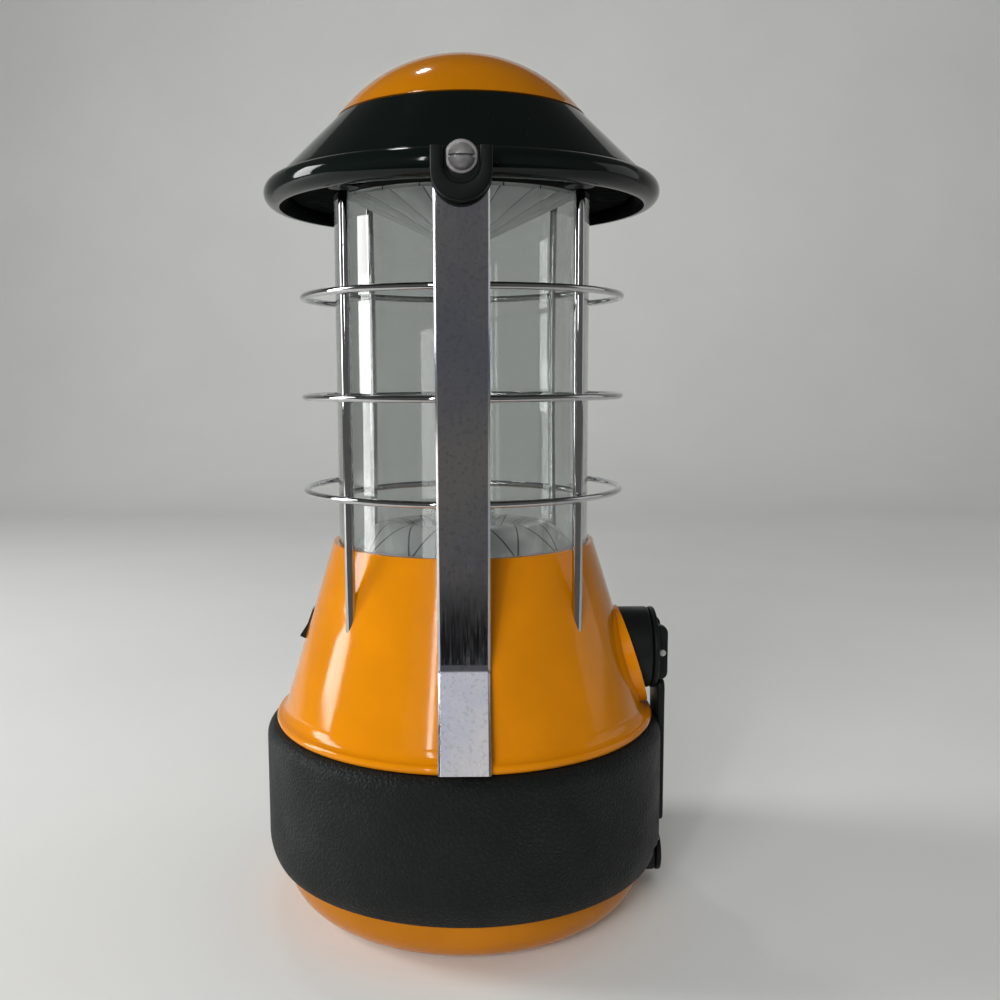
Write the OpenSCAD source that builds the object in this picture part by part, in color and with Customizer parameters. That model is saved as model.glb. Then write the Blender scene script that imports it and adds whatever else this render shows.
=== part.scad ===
// Wind-up camping lantern: a dome cap and a clear lamp chamber in a wire cage on a
// cone body, with a folding crank that drives a small generator through gears.
// Millimetres, +Z up. The origin is the centre of the flat underside.
// The front strap is at -Y, the crank at +X and the rocker switch at -X.

/* [Base] */
// Rounding from the underside up to the base wall
base_corner = 12.5; // [11:0.1:14]
// Height where the base meets the lower edge of the boot
base_h = 14.5; // [14:0.1:16]
// Thickness of the base floor
base_floor = 2.5; // [2:0.1:3.5]
// Height of the ring that locates the cone body on the base
spigot_h = 6; // [4:0.5:9]

/* [Boot] */
// Outer radius of the rubber boot
boot_r = 59.8; // [56:0.1:66]
// Thickness of the boot's side
boot_wall = 4.1; // [3.6:0.1:4.6]
// Radius of the boot's lower rounding
boot_low_round = 14; // [10:0.5:16]
// Height over which the lower rounding runs
boot_low_h = 7; // [5:0.5:9]
// Radius of the boot's upper shoulder
boot_shoulder = 4; // [2:0.5:6]

/* [Cone body] */
// Height of the lip's underside, where the boot ends
lip_z = 54.8; // [50:0.1:60]
// Height of the cone's top edge above that
cone_rise = 53.4; // [50:0.1:58]
// Width of the cone's top edge round the clear tube
cone_edge = 1.7; // [1.4:0.1:2.4]
// Setback of the lip from the boot's side
lip_inset = 2.9; // [2:0.1:3.4]
// Setback of the cone's foot from the lip
cone_inset = 3.306; // [2.5:0.002:4.5]
// Height of the rounded lip
lip_h = 2.6; // [2:0.1:3.2]
// Wall of the cone body, base and cap
shell_wall = 2.4; // [2:0.1:3]

/* [Lamp chamber] */
// Outer radius of the clear tube
tube_r = 37.2; // [34:0.1:41]
// Wall of the clear tube
tube_wall = 2; // [1.5:0.1:3]
// Height from the cone's top edge to the middle of the cap's rim
chamber_h = 100.5; // [94:0.1:110]
// Depth of the lamp deck below the cone's top edge
deck_depth = 7.2; // [6:0.1:9]
// Thickness of the lamp deck
deck_t = 1.6; // [1.2:0.1:2.4]
// Thickness of the two tube gaskets
gasket_t = 1.2; // [0.8:0.1:2]
// Crest of the lower reflector above the lamp deck
low_reflector_h = 13; // [11:0.5:15]
// Radius of the glass bulb
bulb_r = 9.6; // [8:0.1:10.5]
// Height of the glass bulb above the lamp deck
bulb_h = 23.4; // [20:0.1:28]
// Drop of the upper reflector below the cap plate
top_reflector_h = 17; // [10:0.5:20]

/* [Cage] */
// Diameter of the upright rods
rod_d = 2.8; // [2.4:0.1:3.4]
// Distance of the rods' middles from the clear tube
rod_gap = 6.9; // [6.2:0.1:7.4]
// Length of rod below the cone's top edge
rod_sink = 28.2; // [24:0.1:32]
// Diameter of the ring wire
ring_wire_d = 1.9; // [1.6:0.1:2.4]
// Height of the upper ring above the cone's top edge
ring_high_rise = 71.5; // [66:0.1:78]
// Height of the middle ring above the cone's top edge
ring_mid_rise = 42.9; // [38:0.1:48]
// Height of the lower ring above the cone's top edge
ring_low_rise = 15.6; // [10:0.1:20]

/* [Cap] */
// Setback of the dome's edge from the middle of the rim
shade_run = 17.45; // [16.5:0.05:18.5]
// Height of the dome's edge above the middle of the rim
shade_rise = 21.2; // [19:0.1:24]
// Height of the dome's crown above that line
dome_h = 17.8; // [14:0.1:20]
// Distance of the rolled rim's middle outside the rods
rim_reach = 9.15; // [8.8:0.05:10]
// Radius of the rolled rim's bead
rim_bead = 3.75; // [3.4:0.05:4]
// Height of the cap plate's underside above the rolled rim's lowest point
plate_lift = 3.2; // [0.8:0.1:3.4]
// Thickness of the plate under the cap
plate_t = 2; // [1.6:0.1:2.6]

/* [Straps] */
// Width of the steel straps
strap_w = 13.7; // [12:0.1:15]
// Thickness of the steel straps
strap_t = 1.2; // [0.8:0.1:1.6]
// Drop of the straps' pivot screws below the middle of the rim
pivot_drop = 0.2; // [0:0.1:1.2]
// Height above the lip of the bend where a strap comes closest to the cone
strap_bend_rise = 26.2; // [22:0.1:30]
// Height of a strap's free end above the lip's underside
strap_end_rise = 0.7; // [0.6:0.1:3]
// Width of the moulded fitting on a strap's upper end
fitting_w = 14.8; // [13.8:0.1:16]
// Diameter of the pivot screw's head
pivot_head_d = 6.3; // [6:0.1:8]

/* [Crank] */
// Height of the crank's axis above the lip's underside
crank_rise = 19.4; // [18.8:0.1:20]
// Radius of the orange pad that carries the crank
pad_r = 15.2; // [15:0.1:16]
// Drop of the pad's middle below the crank's axis
pad_drop = 2; // [1.5:0.1:2]
// Height of the pad above the cone
pad_h = 1.2; // [0.8:0.1:1.6]
// Radius of the collar and the hub
collar_r = 12.3; // [11.5:0.1:12.4]
// Setback of the fixed collar's end from the boot's side
collar_inset = 3.6; // [3.4:0.1:3.8]
// Thickness of the hub's disc
hub_t = 1.5; // [1.3:0.05:1.6]
// Gap between the folded knob and the ground
knob_clear = 3.15; // [2:0.05:5]
// Radius of the knob
knob_r = 5.9; // [5:0.1:6]
// Thickness of the arm's moulded sleeve
sleeve_t = 2.2; // [2:0.1:2.6]
// Width of the arm's moulded sleeve
sleeve_w = 14; // [11:0.5:16]
// Length of bare steel between the sleeve and the knob
neck_len = 6.1; // [4:0.1:8]
// Diameter of the hinge pin
hinge_d = 2; // [1.8:0.1:2.2]

/* [Gears] */
// Tooth module of all gears
gear_m = 0.9; // [0.88:0.01:0.92]
// Face width of the gears
gear_w = 4; // [3:0.1:4.5]
// Diameter of the crank shaft
shaft_d = 6; // [5:0.1:7]
// Diameter of the gear axles
axle_d = 3; // [2.5:0.1:3.4]
// Radius of the generator's can
can_r = 13; // [12.5:0.1:13.5]
// Length of the generator's can
can_len = 26; // [22:0.5:28]

/* [Switch and battery] */
// Drop of the switch's middle below the cone's top edge
switch_drop = 26; // [24:0.1:28]
// Length of the rocker
rocker_len = 9.2; // [8:0.1:10]
// Width of the rocker
rocker_w = 8; // [6:0.1:9]
// Tilt of the rocker at rest, half of its travel
rocker_tilt = 9; // [6:0.5:10]
// Diameter of a battery cell
cell_d = 14.5; // [13:0.1:14.6]
// Length of a battery cell
cell_len = 50; // [44:0.5:50.5]

/* [Hidden] */

$fn = 96;

// Clearances
press_gap = 0.02;
run_gap = 0.05;
nest_gap = 0.1;
free_gap = 0.3;
swing_gap = 0.4;
over = 1;

// Colours
orange = [0.88, 0.50, 0.03];
black = [0.05, 0.06, 0.06];
rubber = [0.13, 0.15, 0.15];
steel = [0.75, 0.76, 0.78];
clear = [0.85, 0.9, 0.92, 0.4];
white = [0.9, 0.9, 0.88];
brass = [0.8, 0.62, 0.28];
green = [0.1, 0.35, 0.18];

// Levels and radii of the shells
boot_in_r = boot_r - boot_wall;
skirt_r = boot_in_r - nest_gap;
skirt_in_r = skirt_r - shell_wall;
skirt_step = 0.8;
base_r = skirt_r - skirt_step;
foot_r = base_r - base_corner;
seat_t = 1.5;
seat_z = base_h + seat_t;
lip_r = boot_r - lip_inset;
flare_h = 3.4;
flare_top = lip_z + lip_h + flare_h;
cone_top_z = lip_z + cone_rise;
cone_top_r = tube_r + cone_edge;
cone_slope = (lip_r - cone_inset - cone_top_r) / (cone_top_z - flare_top);
cone_tilt = atan(cone_slope);
deck_z = cone_top_z - deck_depth;
deck_top = deck_z + deck_t;
deck_r = tube_r + nest_gap;
ledge_t = 3.5;
ledge_r = tube_r - 3.7;
tube_in_r = tube_r - tube_wall;

// Cage and cap levels
rod_ring_r = tube_r + rod_gap;
rod_foot_z = cone_top_z - rod_sink;
rim_r = rod_ring_r + rim_reach;
rim_z = cone_top_z + chamber_h;
rim_out = rim_r + rim_bead;
dome_r = rim_r - shade_run;
band_z = rim_z + shade_rise;
plate_z = rim_z - rim_bead + plate_lift;
plate_top = plate_z + plate_t;
plate_r = rim_r - rim_bead - 0.7;
tube_z = deck_top + gasket_t;
tube_top = plate_z - gasket_t;
shade_low_z = rim_z + 0.75 * rim_bead;
shade_low_r = rim_r + 0.25 * rim_bead;
shade_slope = (shade_low_r - dome_r) / (band_z - shade_low_z);
shade_in_r = shade_low_r - shell_wall * sqrt(1 + shade_slope * shade_slope);
dome_rad = (dome_r * dome_r + dome_h * dome_h) / (2 * dome_h);
dome_top = band_z + dome_h;
spigot_out = dome_r - 2.8;
post_ring_r = tube_r + 3.8;
post_angles = [20, 160, 200, 340];
rod_angles = [45, 135, 225, 315];

// Strap layers outwards from the rim
strap_in = rim_out + swing_gap;
fitting_in = strap_in + strap_t;
fitting_floor = 1.4;
fitting_t = 4.7;
pivot_shank_d = 3.6;
pivot_head_h = 2.3;
pivot_z = rim_z - pivot_drop;
strap_bend_z = lip_z + strap_bend_rise;
strap_end_z = lip_z + strap_end_rise;
strap_straight_z = pivot_z - 10.5;
strap_top_z = pivot_z + 1.9;

// Crank places along X
crank_z = lip_z + crank_rise;
crank_reach = crank_z - knob_r - knob_clear;
collar_x = boot_r - collar_inset;
hub_x = collar_x + free_gap;
hub_face_x = hub_x + hub_t;
arm_in_x = hub_face_x + swing_gap;
hinge_x = arm_in_x + sleeve_t / 2;
arm_out_x = arm_in_x + sleeve_t;
boot_flat_x = arm_in_x - swing_gap;
eye_r = hinge_d / 2 + 0.65;
eye_w = 8.6;
ear_in = eye_w / 2 + free_gap;
ear_t = 3.4;
ear_half_h = 8.2;
ear_out_x = arm_out_x + 0.5;
strip_t = 1;
strip_x = hinge_x - strip_t / 2;
strip_w = 7.2;
sleeve_start = ear_half_h + 0.6;
sleeve_end = crank_reach - knob_r - neck_len;
knob_z = crank_z - crank_reach;
knob_x = base_r + swing_gap;
knob_end_x = strip_x - free_gap;
knob_len = knob_end_x - knob_x;
knob_axle_d = 3;
tip_t = arm_out_x - strip_x;
shaft_end_x = hub_face_x - 0.8;

// Gear train: teeth, layers along X and axle places in the YZ plane
teeth_crank = 44;
teeth_first = [12, 40];
teeth_second = [12, 36];
teeth_rotor = 12;
layer_gap = 2;
gear_inset = 17.905;
crank_gear_x = cone_r(crank_z) - gear_inset;
first_x = crank_gear_x - gear_w - layer_gap;
second_x = first_x - gear_w - layer_gap;
inner_plate_x = second_x - 2 - layer_gap;
outer_plate_x = crank_gear_x + gear_w + 1.5;
gear_plate_t = 2;
gear_shift = 20;
reach_1 = gear_m * (teeth_crank + teeth_first[0]) / 2;
reach_2 = gear_m * (teeth_first[1] + teeth_second[0]) / 2;
reach_3 = gear_m * (teeth_second[1] + teeth_rotor) / 2;
first_at = [0, crank_z - reach_1];
second_at = [gear_shift, first_at[1] - sqrt(reach_2 * reach_2 - gear_shift * gear_shift)];
rotor_at = [0, second_at[1] - sqrt(reach_3 * reach_3 - gear_shift * gear_shift)];
dir_2 = atan2(second_at[1] - first_at[1], second_at[0] - first_at[0]);
dir_3 = atan2(rotor_at[1] - second_at[1], rotor_at[0] - second_at[0]);
foot_half_w = 9;
shoulder_w = gear_shift + 8;
back_w = 25;
spacer_r = 2.2;
spacer_in = 3;
spacer_spots = [[spacer_in - foot_half_w, base_floor + 3 * spacer_in],
    [foot_half_w - spacer_in, base_floor + 2 * spacer_in],
    [shoulder_w - spacer_in, first_at[1] + 3 * spacer_in],
    [spacer_in - back_w, first_at[1] - spacer_in]];
rotor_shaft_d = 2;
can_x = inner_plate_x - can_len;
can_wall = 0.7;
can_end_t = 1.2;
magnet_r = can_r - 7;
coil_end = 5;

// Battery and boards
cell_inset = 11.8;
cell_x = cell_inset - foot_r;
cell_gap = 1.2;
cell_pitch = cell_d + cell_gap;
tray_floor_z = 6;
tray_wall = 1.5;
tray_x0 = cell_x - cell_d / 2 - tray_wall;
tray_x1 = cell_x + cell_d / 2 + tray_wall;
tray_half_w = 1.5 * cell_pitch + tray_wall;
tray_floor_t = 2;
cell_z = tray_floor_z + tray_floor_t;
board_rise = 6;
board_z = cell_z + cell_len + board_rise;
board_t = 1.6;
board_end_x = 8;

// Outline helpers
function cone_r(z) = cone_top_r + cone_slope * (cone_top_z - z);
function arc_pts(c, r, a0, a1, n) =
    [for (i = [0:n]) let (a = a0 + (a1 - a0) * i / n) c + r * [cos(a), sin(a)]];
function curve_pts(p, q, s, n) =
    [for (i = [0:n]) let (t = i / n) (1 - t) * (1 - t) * p + 2 * t * (1 - t) * q + t * t * s];

// Involute tooth outline: half the tooth angle at a radius, less half the backlash
backlash = 0.18;
pressure = 20;
function inv_deg(r, base) = let (a = acos(min(1, base / r))) tan(a) * 180 / PI - a;
function half_tooth(r, pitch, n) = 90 / n - backlash / 2 / pitch * 180 / PI
    + inv_deg(pitch, pitch * cos(pressure)) - inv_deg(max(r, pitch * cos(pressure)), pitch * cos(pressure));
function gear_pts(n) = let (pitch = gear_m * n / 2,
    tip = pitch + 0.8 * gear_m, root = pitch - 1.15 * gear_m,
    flank = [for (i = [0:4]) root + (tip - root) * i / 4])
    [for (k = [0:n - 1]) let (mid = 360 / n * k)
        each concat(
            [for (r = flank) r * [cos(mid - half_tooth(r, pitch, n)), sin(mid - half_tooth(r, pitch, n))]],
            [for (i = [4:-1:0]) let (r = flank[i])
                r * [cos(mid + half_tooth(r, pitch, n)), sin(mid + half_tooth(r, pitch, n))]])];

// Placing helpers: bars and outlines along X and Y, copies round the axis, the tilted cone wall
module bar_x(x0, x1, r, at = [0, crank_z]) translate([x0, at[0], at[1]]) rotate([0, 90, 0])
    cylinder(r = r, h = x1 - x0);
module bar_y(y0, y1, r, x, z) translate([x, y0, z]) rotate([-90, 0, 0]) cylinder(r = r, h = y1 - y0);
module slab_x(x0, x1) translate([x0, 0, 0]) rotate([90, 0, 90]) linear_extrude(x1 - x0) children();
module slab_y(y0, y1) translate([0, y1, 0]) rotate([90, 0, 0]) linear_extrude(y1 - y0) children();
module around(angles, r, z = 0) for (a = angles) rotate(a) translate([r, 0, z]) children();
module ring(r_in, r_out, z0, z1) difference() {
    translate([0, 0, z0]) cylinder(r = r_out, h = z1 - z0);
    translate([0, 0, z0 - over]) cylinder(r = r_in, h = z1 - z0 + 2 * over);
}
module at_wall(z) translate([cone_r(z), 0, z]) rotate([0, -cone_tilt, 0]) children();
module gear(x, n, at, turn) translate([x, at[0], at[1]]) rotate([90, 0, 90]) rotate(turn)
    linear_extrude(gear_w) polygon(gear_pts(n));

// Base
screw_ring_r = foot_r - 5.3;
screw_angles = [78, 102, 258, 282];
screw_post_r = 4.6;
screw_boss_h = 14;
screw_rib_t = 3;
screw_d = 3.2;
screw_head_d = 6;
screw_head_z = 9;
screw_len = 18;

// Half outline of a round-cornered bowl: the dish itself, or its hollow when drawn in by an inset
module bowl_outline(inset, top) {
    translate([0, inset]) square([foot_r, top - inset]);
    translate([0, base_corner]) square([base_r - inset, top - base_corner]);
    translate([foot_r, base_corner]) intersection() {
        circle(r = base_corner - inset);
        translate([0, -base_corner]) square(base_corner);
    }
}
module base_solid() rotate_extrude() {
    bowl_outline(0, seat_z);
    translate([0, base_h]) square([skirt_r, seat_z - base_h]);
}
module base_hollow() rotate_extrude() bowl_outline(base_floor, seat_z + over);

module base_dish() color(orange) difference() {
    union() {
        difference() {
            base_solid();
            base_hollow();
        }
        around(screw_angles, screw_ring_r, base_floor / 2)
            cylinder(r = screw_post_r, h = seat_z - base_floor / 2);
        ring(skirt_in_r - nest_gap - shell_wall, skirt_in_r - nest_gap, base_h, seat_z + spigot_h);
    }
    around(screw_angles, screw_ring_r, -over)
        cylinder(d = screw_head_d + 2 * nest_gap, h = screw_head_z + over);
    around(screw_angles, screw_ring_r)
        cylinder(d = screw_d + 2 * run_gap, h = seat_z + over);
}

module base_screws() color(steel) around(screw_angles, screw_ring_r) difference() {
    union() {
        translate([0, 0, screw_head_z - 2]) cylinder(d = screw_head_d, h = 2);
        translate([0, 0, screw_head_z]) cylinder(d = screw_d, h = screw_len);
    }
    translate([-screw_head_d / 2, -0.4, screw_head_z - 2 - over]) cube([screw_head_d, 0.8, over + 0.8]);
}

// Boot, with a flat for the crank arm and room for the knob's sweep
module rubber_boot() color(rubber) difference() {
    rotate_extrude() polygon(concat(
        [[boot_in_r, base_h]],
        arc_pts([boot_r - boot_low_round, base_h + boot_low_h], boot_low_round,
            -asin(boot_low_h / boot_low_round), 0, 10),
        arc_pts([boot_r - boot_shoulder, lip_z - boot_shoulder], boot_shoulder, 0, 90, 8),
        [[boot_in_r, lip_z]]));
    translate([boot_flat_x, -boot_r, 0]) cube([boot_r, 2 * boot_r, lip_z + over]);
    difference() {
        bar_x(knob_x - swing_gap, boot_r, crank_reach + knob_r + swing_gap);
        bar_x(knob_x - swing_gap - over, boot_r + over, crank_reach - knob_r - swing_gap);
    }
}

// Cone body
socket_r = 3.2;
socket_floor = 3;
lip_round = arc_pts([lip_r - lip_h / 2, lip_z + lip_h / 2], lip_h / 2, -90, 60, 10);
lip_last = lip_round[len(lip_round) - 1];

module cone_solid() rotate_extrude() polygon(concat(
    [[0, seat_z], [skirt_r, seat_z], [skirt_r, lip_z]],
    lip_round,
    curve_pts(lip_last, [cone_r(flare_top - 2.2), lip_last[1] + 0.4], [cone_r(flare_top), flare_top], 8),
    [[cone_top_r, cone_top_z], [0, cone_top_z]]));
module cone_hollow() rotate_extrude() polygon([[0, seat_z - over], [skirt_in_r, seat_z - over],
    [skirt_in_r, lip_z - 1], [cone_r(flare_top) - shell_wall, flare_top],
    [cone_r(deck_z - ledge_t) - shell_wall, deck_z - ledge_t], [ledge_r, deck_z - ledge_t],
    [ledge_r, deck_z], [deck_r + nest_gap, deck_z],
    [deck_r + nest_gap, cone_top_z + over], [0, cone_top_z + over]]);

// Bosses over the base's posts, each on a rib from the skirt
module cone_bosses() around(screw_angles, screw_ring_r, seat_z) {
    cylinder(r = screw_post_r, h = screw_boss_h);
    translate([0, -screw_rib_t / 2, spigot_h + free_gap])
        cube([skirt_in_r - screw_ring_r + shell_wall / 2, screw_rib_t, screw_boss_h - spigot_h - free_gap]);
}

module cone_body() color(orange) difference() {
    union() {
        difference() {
            union() {
                cone_solid();
                at_wall(crank_z - pad_drop) translate([-4, 0, 0]) rotate([0, 90, 0])
                    cylinder(r = pad_r, h = 4 + pad_h);
            }
            cone_hollow();
        }
        intersection() {
            cone_solid();
            around(rod_angles, rod_ring_r, rod_foot_z - socket_floor)
                cylinder(r = socket_r, h = deck_z - ledge_t - rod_foot_z + socket_floor);
        }
        cone_bosses();
    }
    around(rod_angles, rod_ring_r, rod_foot_z)
        cylinder(d = rod_d + 2 * run_gap, h = cone_top_z - rod_foot_z + over);
    around(screw_angles, screw_ring_r, seat_z - over)
        cylinder(d = screw_d + 2 * press_gap, h = screw_head_z + screw_len - seat_z + over);
    bar_x(inner_plate_x, collar_x, shaft_d / 2 + 1);
    at_switch() translate([-shell_wall - 2, -window_w / 2, -window_len / 2])
        cube([shell_wall + 6, window_w, window_len]);
}

// Crank
module crank_collar() color(black) difference() {
    bar_x(cone_r(crank_z) - collar_r, collar_x, collar_r);
    at_wall(crank_z) translate([pad_h - 2 * collar_r, -collar_r - over, -3 * collar_r])
        cube([2 * collar_r, 2 * collar_r + 2 * over, 6 * collar_r]);
    bar_x(inner_plate_x, collar_x + over, shaft_d / 2 + run_gap);
}

module crank_hub() color(black) difference() {
    union() {
        bar_x(hub_x, hub_face_x, collar_r);
        for (side = [0, 1]) mirror([0, side, 0]) slab_y(ear_in, ear_in + ear_t) polygon(concat(
            [[hub_x, crank_z - ear_half_h]],
            arc_pts([ear_out_x - 2, crank_z - ear_half_h + 2], 2, -90, 0, 6),
            arc_pts([ear_out_x - 2, crank_z + ear_half_h - 2], 2, 0, 90, 6),
            [[hub_x, crank_z + ear_half_h]]));
    }
    bar_x(hub_x - over, shaft_end_x, shaft_d / 2 + press_gap);
    bar_y(-ear_in, ear_in, eye_r + free_gap, hinge_x, crank_z);
    bar_y(-2 * ear_in, 2 * ear_in, hinge_d / 2 + press_gap, hinge_x, crank_z);
}

module crank_shaft() color(steel) bar_x(crank_gear_x - 2, shaft_end_x, shaft_d / 2);

module shaft_clip() color(steel) difference() {
    bar_x(crank_gear_x - 1, crank_gear_x, shaft_d / 2 + 2);
    bar_x(crank_gear_x - 2, crank_gear_x + over, shaft_d / 2 + press_gap);
}

module hinge_pin() color(steel) bar_y(-ear_in - ear_t, ear_in + ear_t, hinge_d / 2, hinge_x, crank_z);

module arm_core() color(steel) difference() {
    union() {
        bar_y(-eye_w / 2, eye_w / 2, eye_r, hinge_x, crank_z);
        translate([strip_x, -strip_w / 2, knob_z]) cube([strip_t, strip_w, crank_reach]);
        bar_x(strip_x, strip_x + strip_t, knob_r - 1, [0, knob_z]);
    }
    bar_y(-eye_w, eye_w, hinge_d / 2 + run_gap, hinge_x, crank_z);
    bar_x(strip_x - over, strip_x + strip_t + over, knob_axle_d / 2 + press_gap, [0, knob_z]);
}

module arm_sleeve() color(black) difference() {
    slab_x(arm_in_x, arm_out_x) polygon(concat(
        arc_pts([sleeve_w / 2 - 3, crank_z - sleeve_end + 3], 3, -90, 0, 6),
        arc_pts([sleeve_w / 2 - 3, crank_z - sleeve_start - 3], 3, 0, 90, 6),
        arc_pts([-sleeve_w / 2 + 3, crank_z - sleeve_start - 3], 3, 90, 180, 6),
        arc_pts([-sleeve_w / 2 + 3, crank_z - sleeve_end + 3], 3, 180, 270, 6)));
    translate([strip_x - press_gap, -strip_w / 2 - press_gap, knob_z])
        cube([strip_t + 2 * press_gap, strip_w + 2 * press_gap, crank_reach]);
}

// Cap over the strip's rounded end
module arm_tip() color(black) difference() {
    translate([strip_x, 0, knob_z]) rotate([0, 90, 0]) rotate_extrude()
        polygon([[0, 0], [knob_r, 0], [knob_r, tip_t - 0.4], [knob_r - 0.4, tip_t], [0, tip_t]]);
    bar_x(strip_x - over, strip_x + strip_t + press_gap, knob_r - 1 + press_gap, [0, knob_z]);
    translate([strip_x - over, -strip_w / 2 - press_gap, knob_z])
        cube([over + strip_t + press_gap, strip_w + 2 * press_gap, knob_r + over]);
}

module knob_axle() color(steel) {
    bar_x(knob_x + 1, strip_x + strip_t, knob_axle_d / 2, [0, knob_z]);
    bar_x(knob_x + 0.4, knob_x + 1, knob_axle_d, [0, knob_z]);
}

module crank_knob() color(black) difference() {
    translate([knob_x, 0, knob_z]) rotate([0, 90, 0]) rotate_extrude()
        polygon([[0, 0], [knob_r - 0.8, 0], [knob_r, 0.8], [knob_r, knob_len - 0.5],
            [knob_r - 0.5, knob_len], [0, knob_len]]);
    bar_x(knob_x - over, knob_x + 1.1, knob_axle_d + free_gap, [0, knob_z]);
    bar_x(knob_x, knob_end_x + over, knob_axle_d / 2 + run_gap, [0, knob_z]);
}

// Gearbox and generator
plate_waist_z = 18;
plate_half_h = 12;
plate_top_w = 14;
plate_over = 9;
plate_pts_low = [[-foot_half_w, base_floor], [foot_half_w, base_floor],
    [foot_half_w, plate_waist_z], [shoulder_w, plate_waist_z + 6]];
plate_pts_back = [[-back_w, first_at[1] + plate_half_h], [-back_w, first_at[1] - plate_half_h],
    [-foot_half_w, plate_waist_z]];

module plate_holes(x0, x1) {
    bar_x(x0, x1, axle_d / 2 + press_gap, first_at);
    bar_x(x0, x1, axle_d / 2 + press_gap, second_at);
}

module gearbox_outer_plate() color(steel) difference() {
    slab_x(outer_plate_x, outer_plate_x + gear_plate_t) polygon(concat(plate_pts_low,
        [[shoulder_w, first_at[1] + plate_half_h], [plate_top_w, crank_z + plate_over],
            [-plate_top_w, crank_z + plate_over]], plate_pts_back));
    plate_holes(outer_plate_x - over, outer_plate_x + gear_plate_t + over);
    bar_x(outer_plate_x - over, outer_plate_x + gear_plate_t + over, shaft_d / 2 + run_gap);
}

module gearbox_inner_plate() color(steel) difference() {
    slab_x(inner_plate_x, inner_plate_x + gear_plate_t) polygon(concat(plate_pts_low,
        [[shoulder_w, first_at[1] + plate_half_h + gear_plate_t]],
        [[-back_w, first_at[1] + plate_half_h + gear_plate_t]], plate_pts_back));
    plate_holes(inner_plate_x - over, inner_plate_x + gear_plate_t + over);
    bar_x(inner_plate_x - over, inner_plate_x + gear_plate_t + over, rotor_shaft_d, rotor_at);
}

module gearbox_spacers() color(brass) for (spot = spacer_spots)
    bar_x(inner_plate_x + gear_plate_t, outer_plate_x, spacer_r, spot);

module gear_axles() color(steel) for (spot = [first_at, second_at])
    bar_x(inner_plate_x, outer_plate_x + gear_plate_t, axle_d / 2, spot);

module crank_gear() color(white) difference() {
    union() {
        gear(crank_gear_x, teeth_crank, [0, crank_z], -90);
        bar_x(crank_gear_x, outer_plate_x - free_gap, shaft_d / 2 + 2);
    }
    bar_x(crank_gear_x - over, outer_plate_x, shaft_d / 2 + press_gap);
}

// A pinion and a wheel on one hub that turns on a fixed axle
module double_gear(pinion_x, wheel_x, teeth, at, pinion_turn, wheel_turn) color(white) difference() {
    union() {
        gear(pinion_x, teeth[0], at, pinion_turn);
        gear(wheel_x, teeth[1], at, wheel_turn);
        bar_x(inner_plate_x + gear_plate_t + free_gap, outer_plate_x - free_gap, axle_d, at);
    }
    bar_x(inner_plate_x, outer_plate_x + gear_plate_t, axle_d / 2 + run_gap, at);
}

module first_gear() double_gear(crank_gear_x, first_x, teeth_first, first_at,
    90 + 180 / teeth_first[0], dir_2);
module second_gear() double_gear(first_x, second_x, teeth_second, second_at,
    dir_2 + 180 + 180 / teeth_second[0], dir_3);

module rotor_pinion() color(brass) difference() {
    gear(second_x, teeth_rotor, rotor_at, dir_3 + 180 + 180 / teeth_rotor);
    bar_x(second_x - over, second_x + gear_w + over, rotor_shaft_d / 2 + press_gap, rotor_at);
}
module rotor_shaft() color(steel) bar_x(can_x + 0.3, second_x + gear_w + 0.6, rotor_shaft_d / 2, rotor_at);
module rotor_magnet() color(black) difference() {
    bar_x(can_x + coil_end + over, inner_plate_x - coil_end - over, magnet_r, rotor_at);
    bar_x(can_x, inner_plate_x, rotor_shaft_d / 2 + press_gap, rotor_at);
}
module generator_can() color(steel) difference() {
    bar_x(can_x, inner_plate_x, can_r, rotor_at);
    bar_x(can_x + can_end_t, inner_plate_x - can_end_t, can_r - can_wall, rotor_at);
    bar_x(can_x - over, inner_plate_x + over, rotor_shaft_d / 2 + run_gap, rotor_at);
}
module stator_coils() color(brass) difference() {
    bar_x(can_x + coil_end, inner_plate_x - coil_end, can_r - can_wall - nest_gap, rotor_at);
    bar_x(can_x, inner_plate_x, magnet_r + free_gap, rotor_at);
}

// Battery, board and leads
module battery_tray() color(black) {
    translate([tray_x0, -tray_half_w, tray_floor_z])
        cube([tray_x1 - tray_x0, 2 * tray_half_w, tray_floor_t]);
    for (side = [-1, 1])
        translate([tray_x0, side * (tray_half_w - tray_wall / 2) - tray_wall / 2, tray_floor_z])
            cube([tray_x1 - tray_x0, tray_wall, board_z - tray_floor_z]);
    translate([tray_x1 - tray_wall + nest_gap, -tray_half_w, tray_floor_z])
        cube([tray_wall - nest_gap, 2 * tray_half_w, cell_len / 2]);
    for (side = [-1, 1]) translate([cell_x, side * cell_pitch, base_floor])
        cylinder(r = cell_d / 4, h = tray_floor_z - base_floor + over);
}
module battery_cells() color(green) for (k = [-1:1]) translate([cell_x, k * cell_pitch, cell_z]) {
    cylinder(d = cell_d, h = cell_len - tray_wall);
    cylinder(d = cell_d / 3, h = cell_len);
}
module control_board() color(green) translate([tray_x0, -tray_half_w, board_z])
    cube([board_end_x - tray_x0, 2 * tray_half_w, board_t]);
capacitor_r = 5;
capacitor_h = 12;
chip = [10, 8, 2];
plug = [8, 6, 5];
module board_components() color(black) translate([0, 0, board_z + board_t]) {
    translate([cell_x + capacitor_r, 2 * capacitor_r, 0]) cylinder(r = capacitor_r, h = capacitor_h);
    translate([-1.2 * chip[0], -1.75 * chip[1], 0]) cube(chip);
    translate([cell_x, -3 * plug[1], 0]) cube(plug);
}
lead_r = 0.7;
lead_gap = 3;
lead_x = -14;
can_top_z = rotor_at[1] + can_r + nest_gap;
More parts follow.
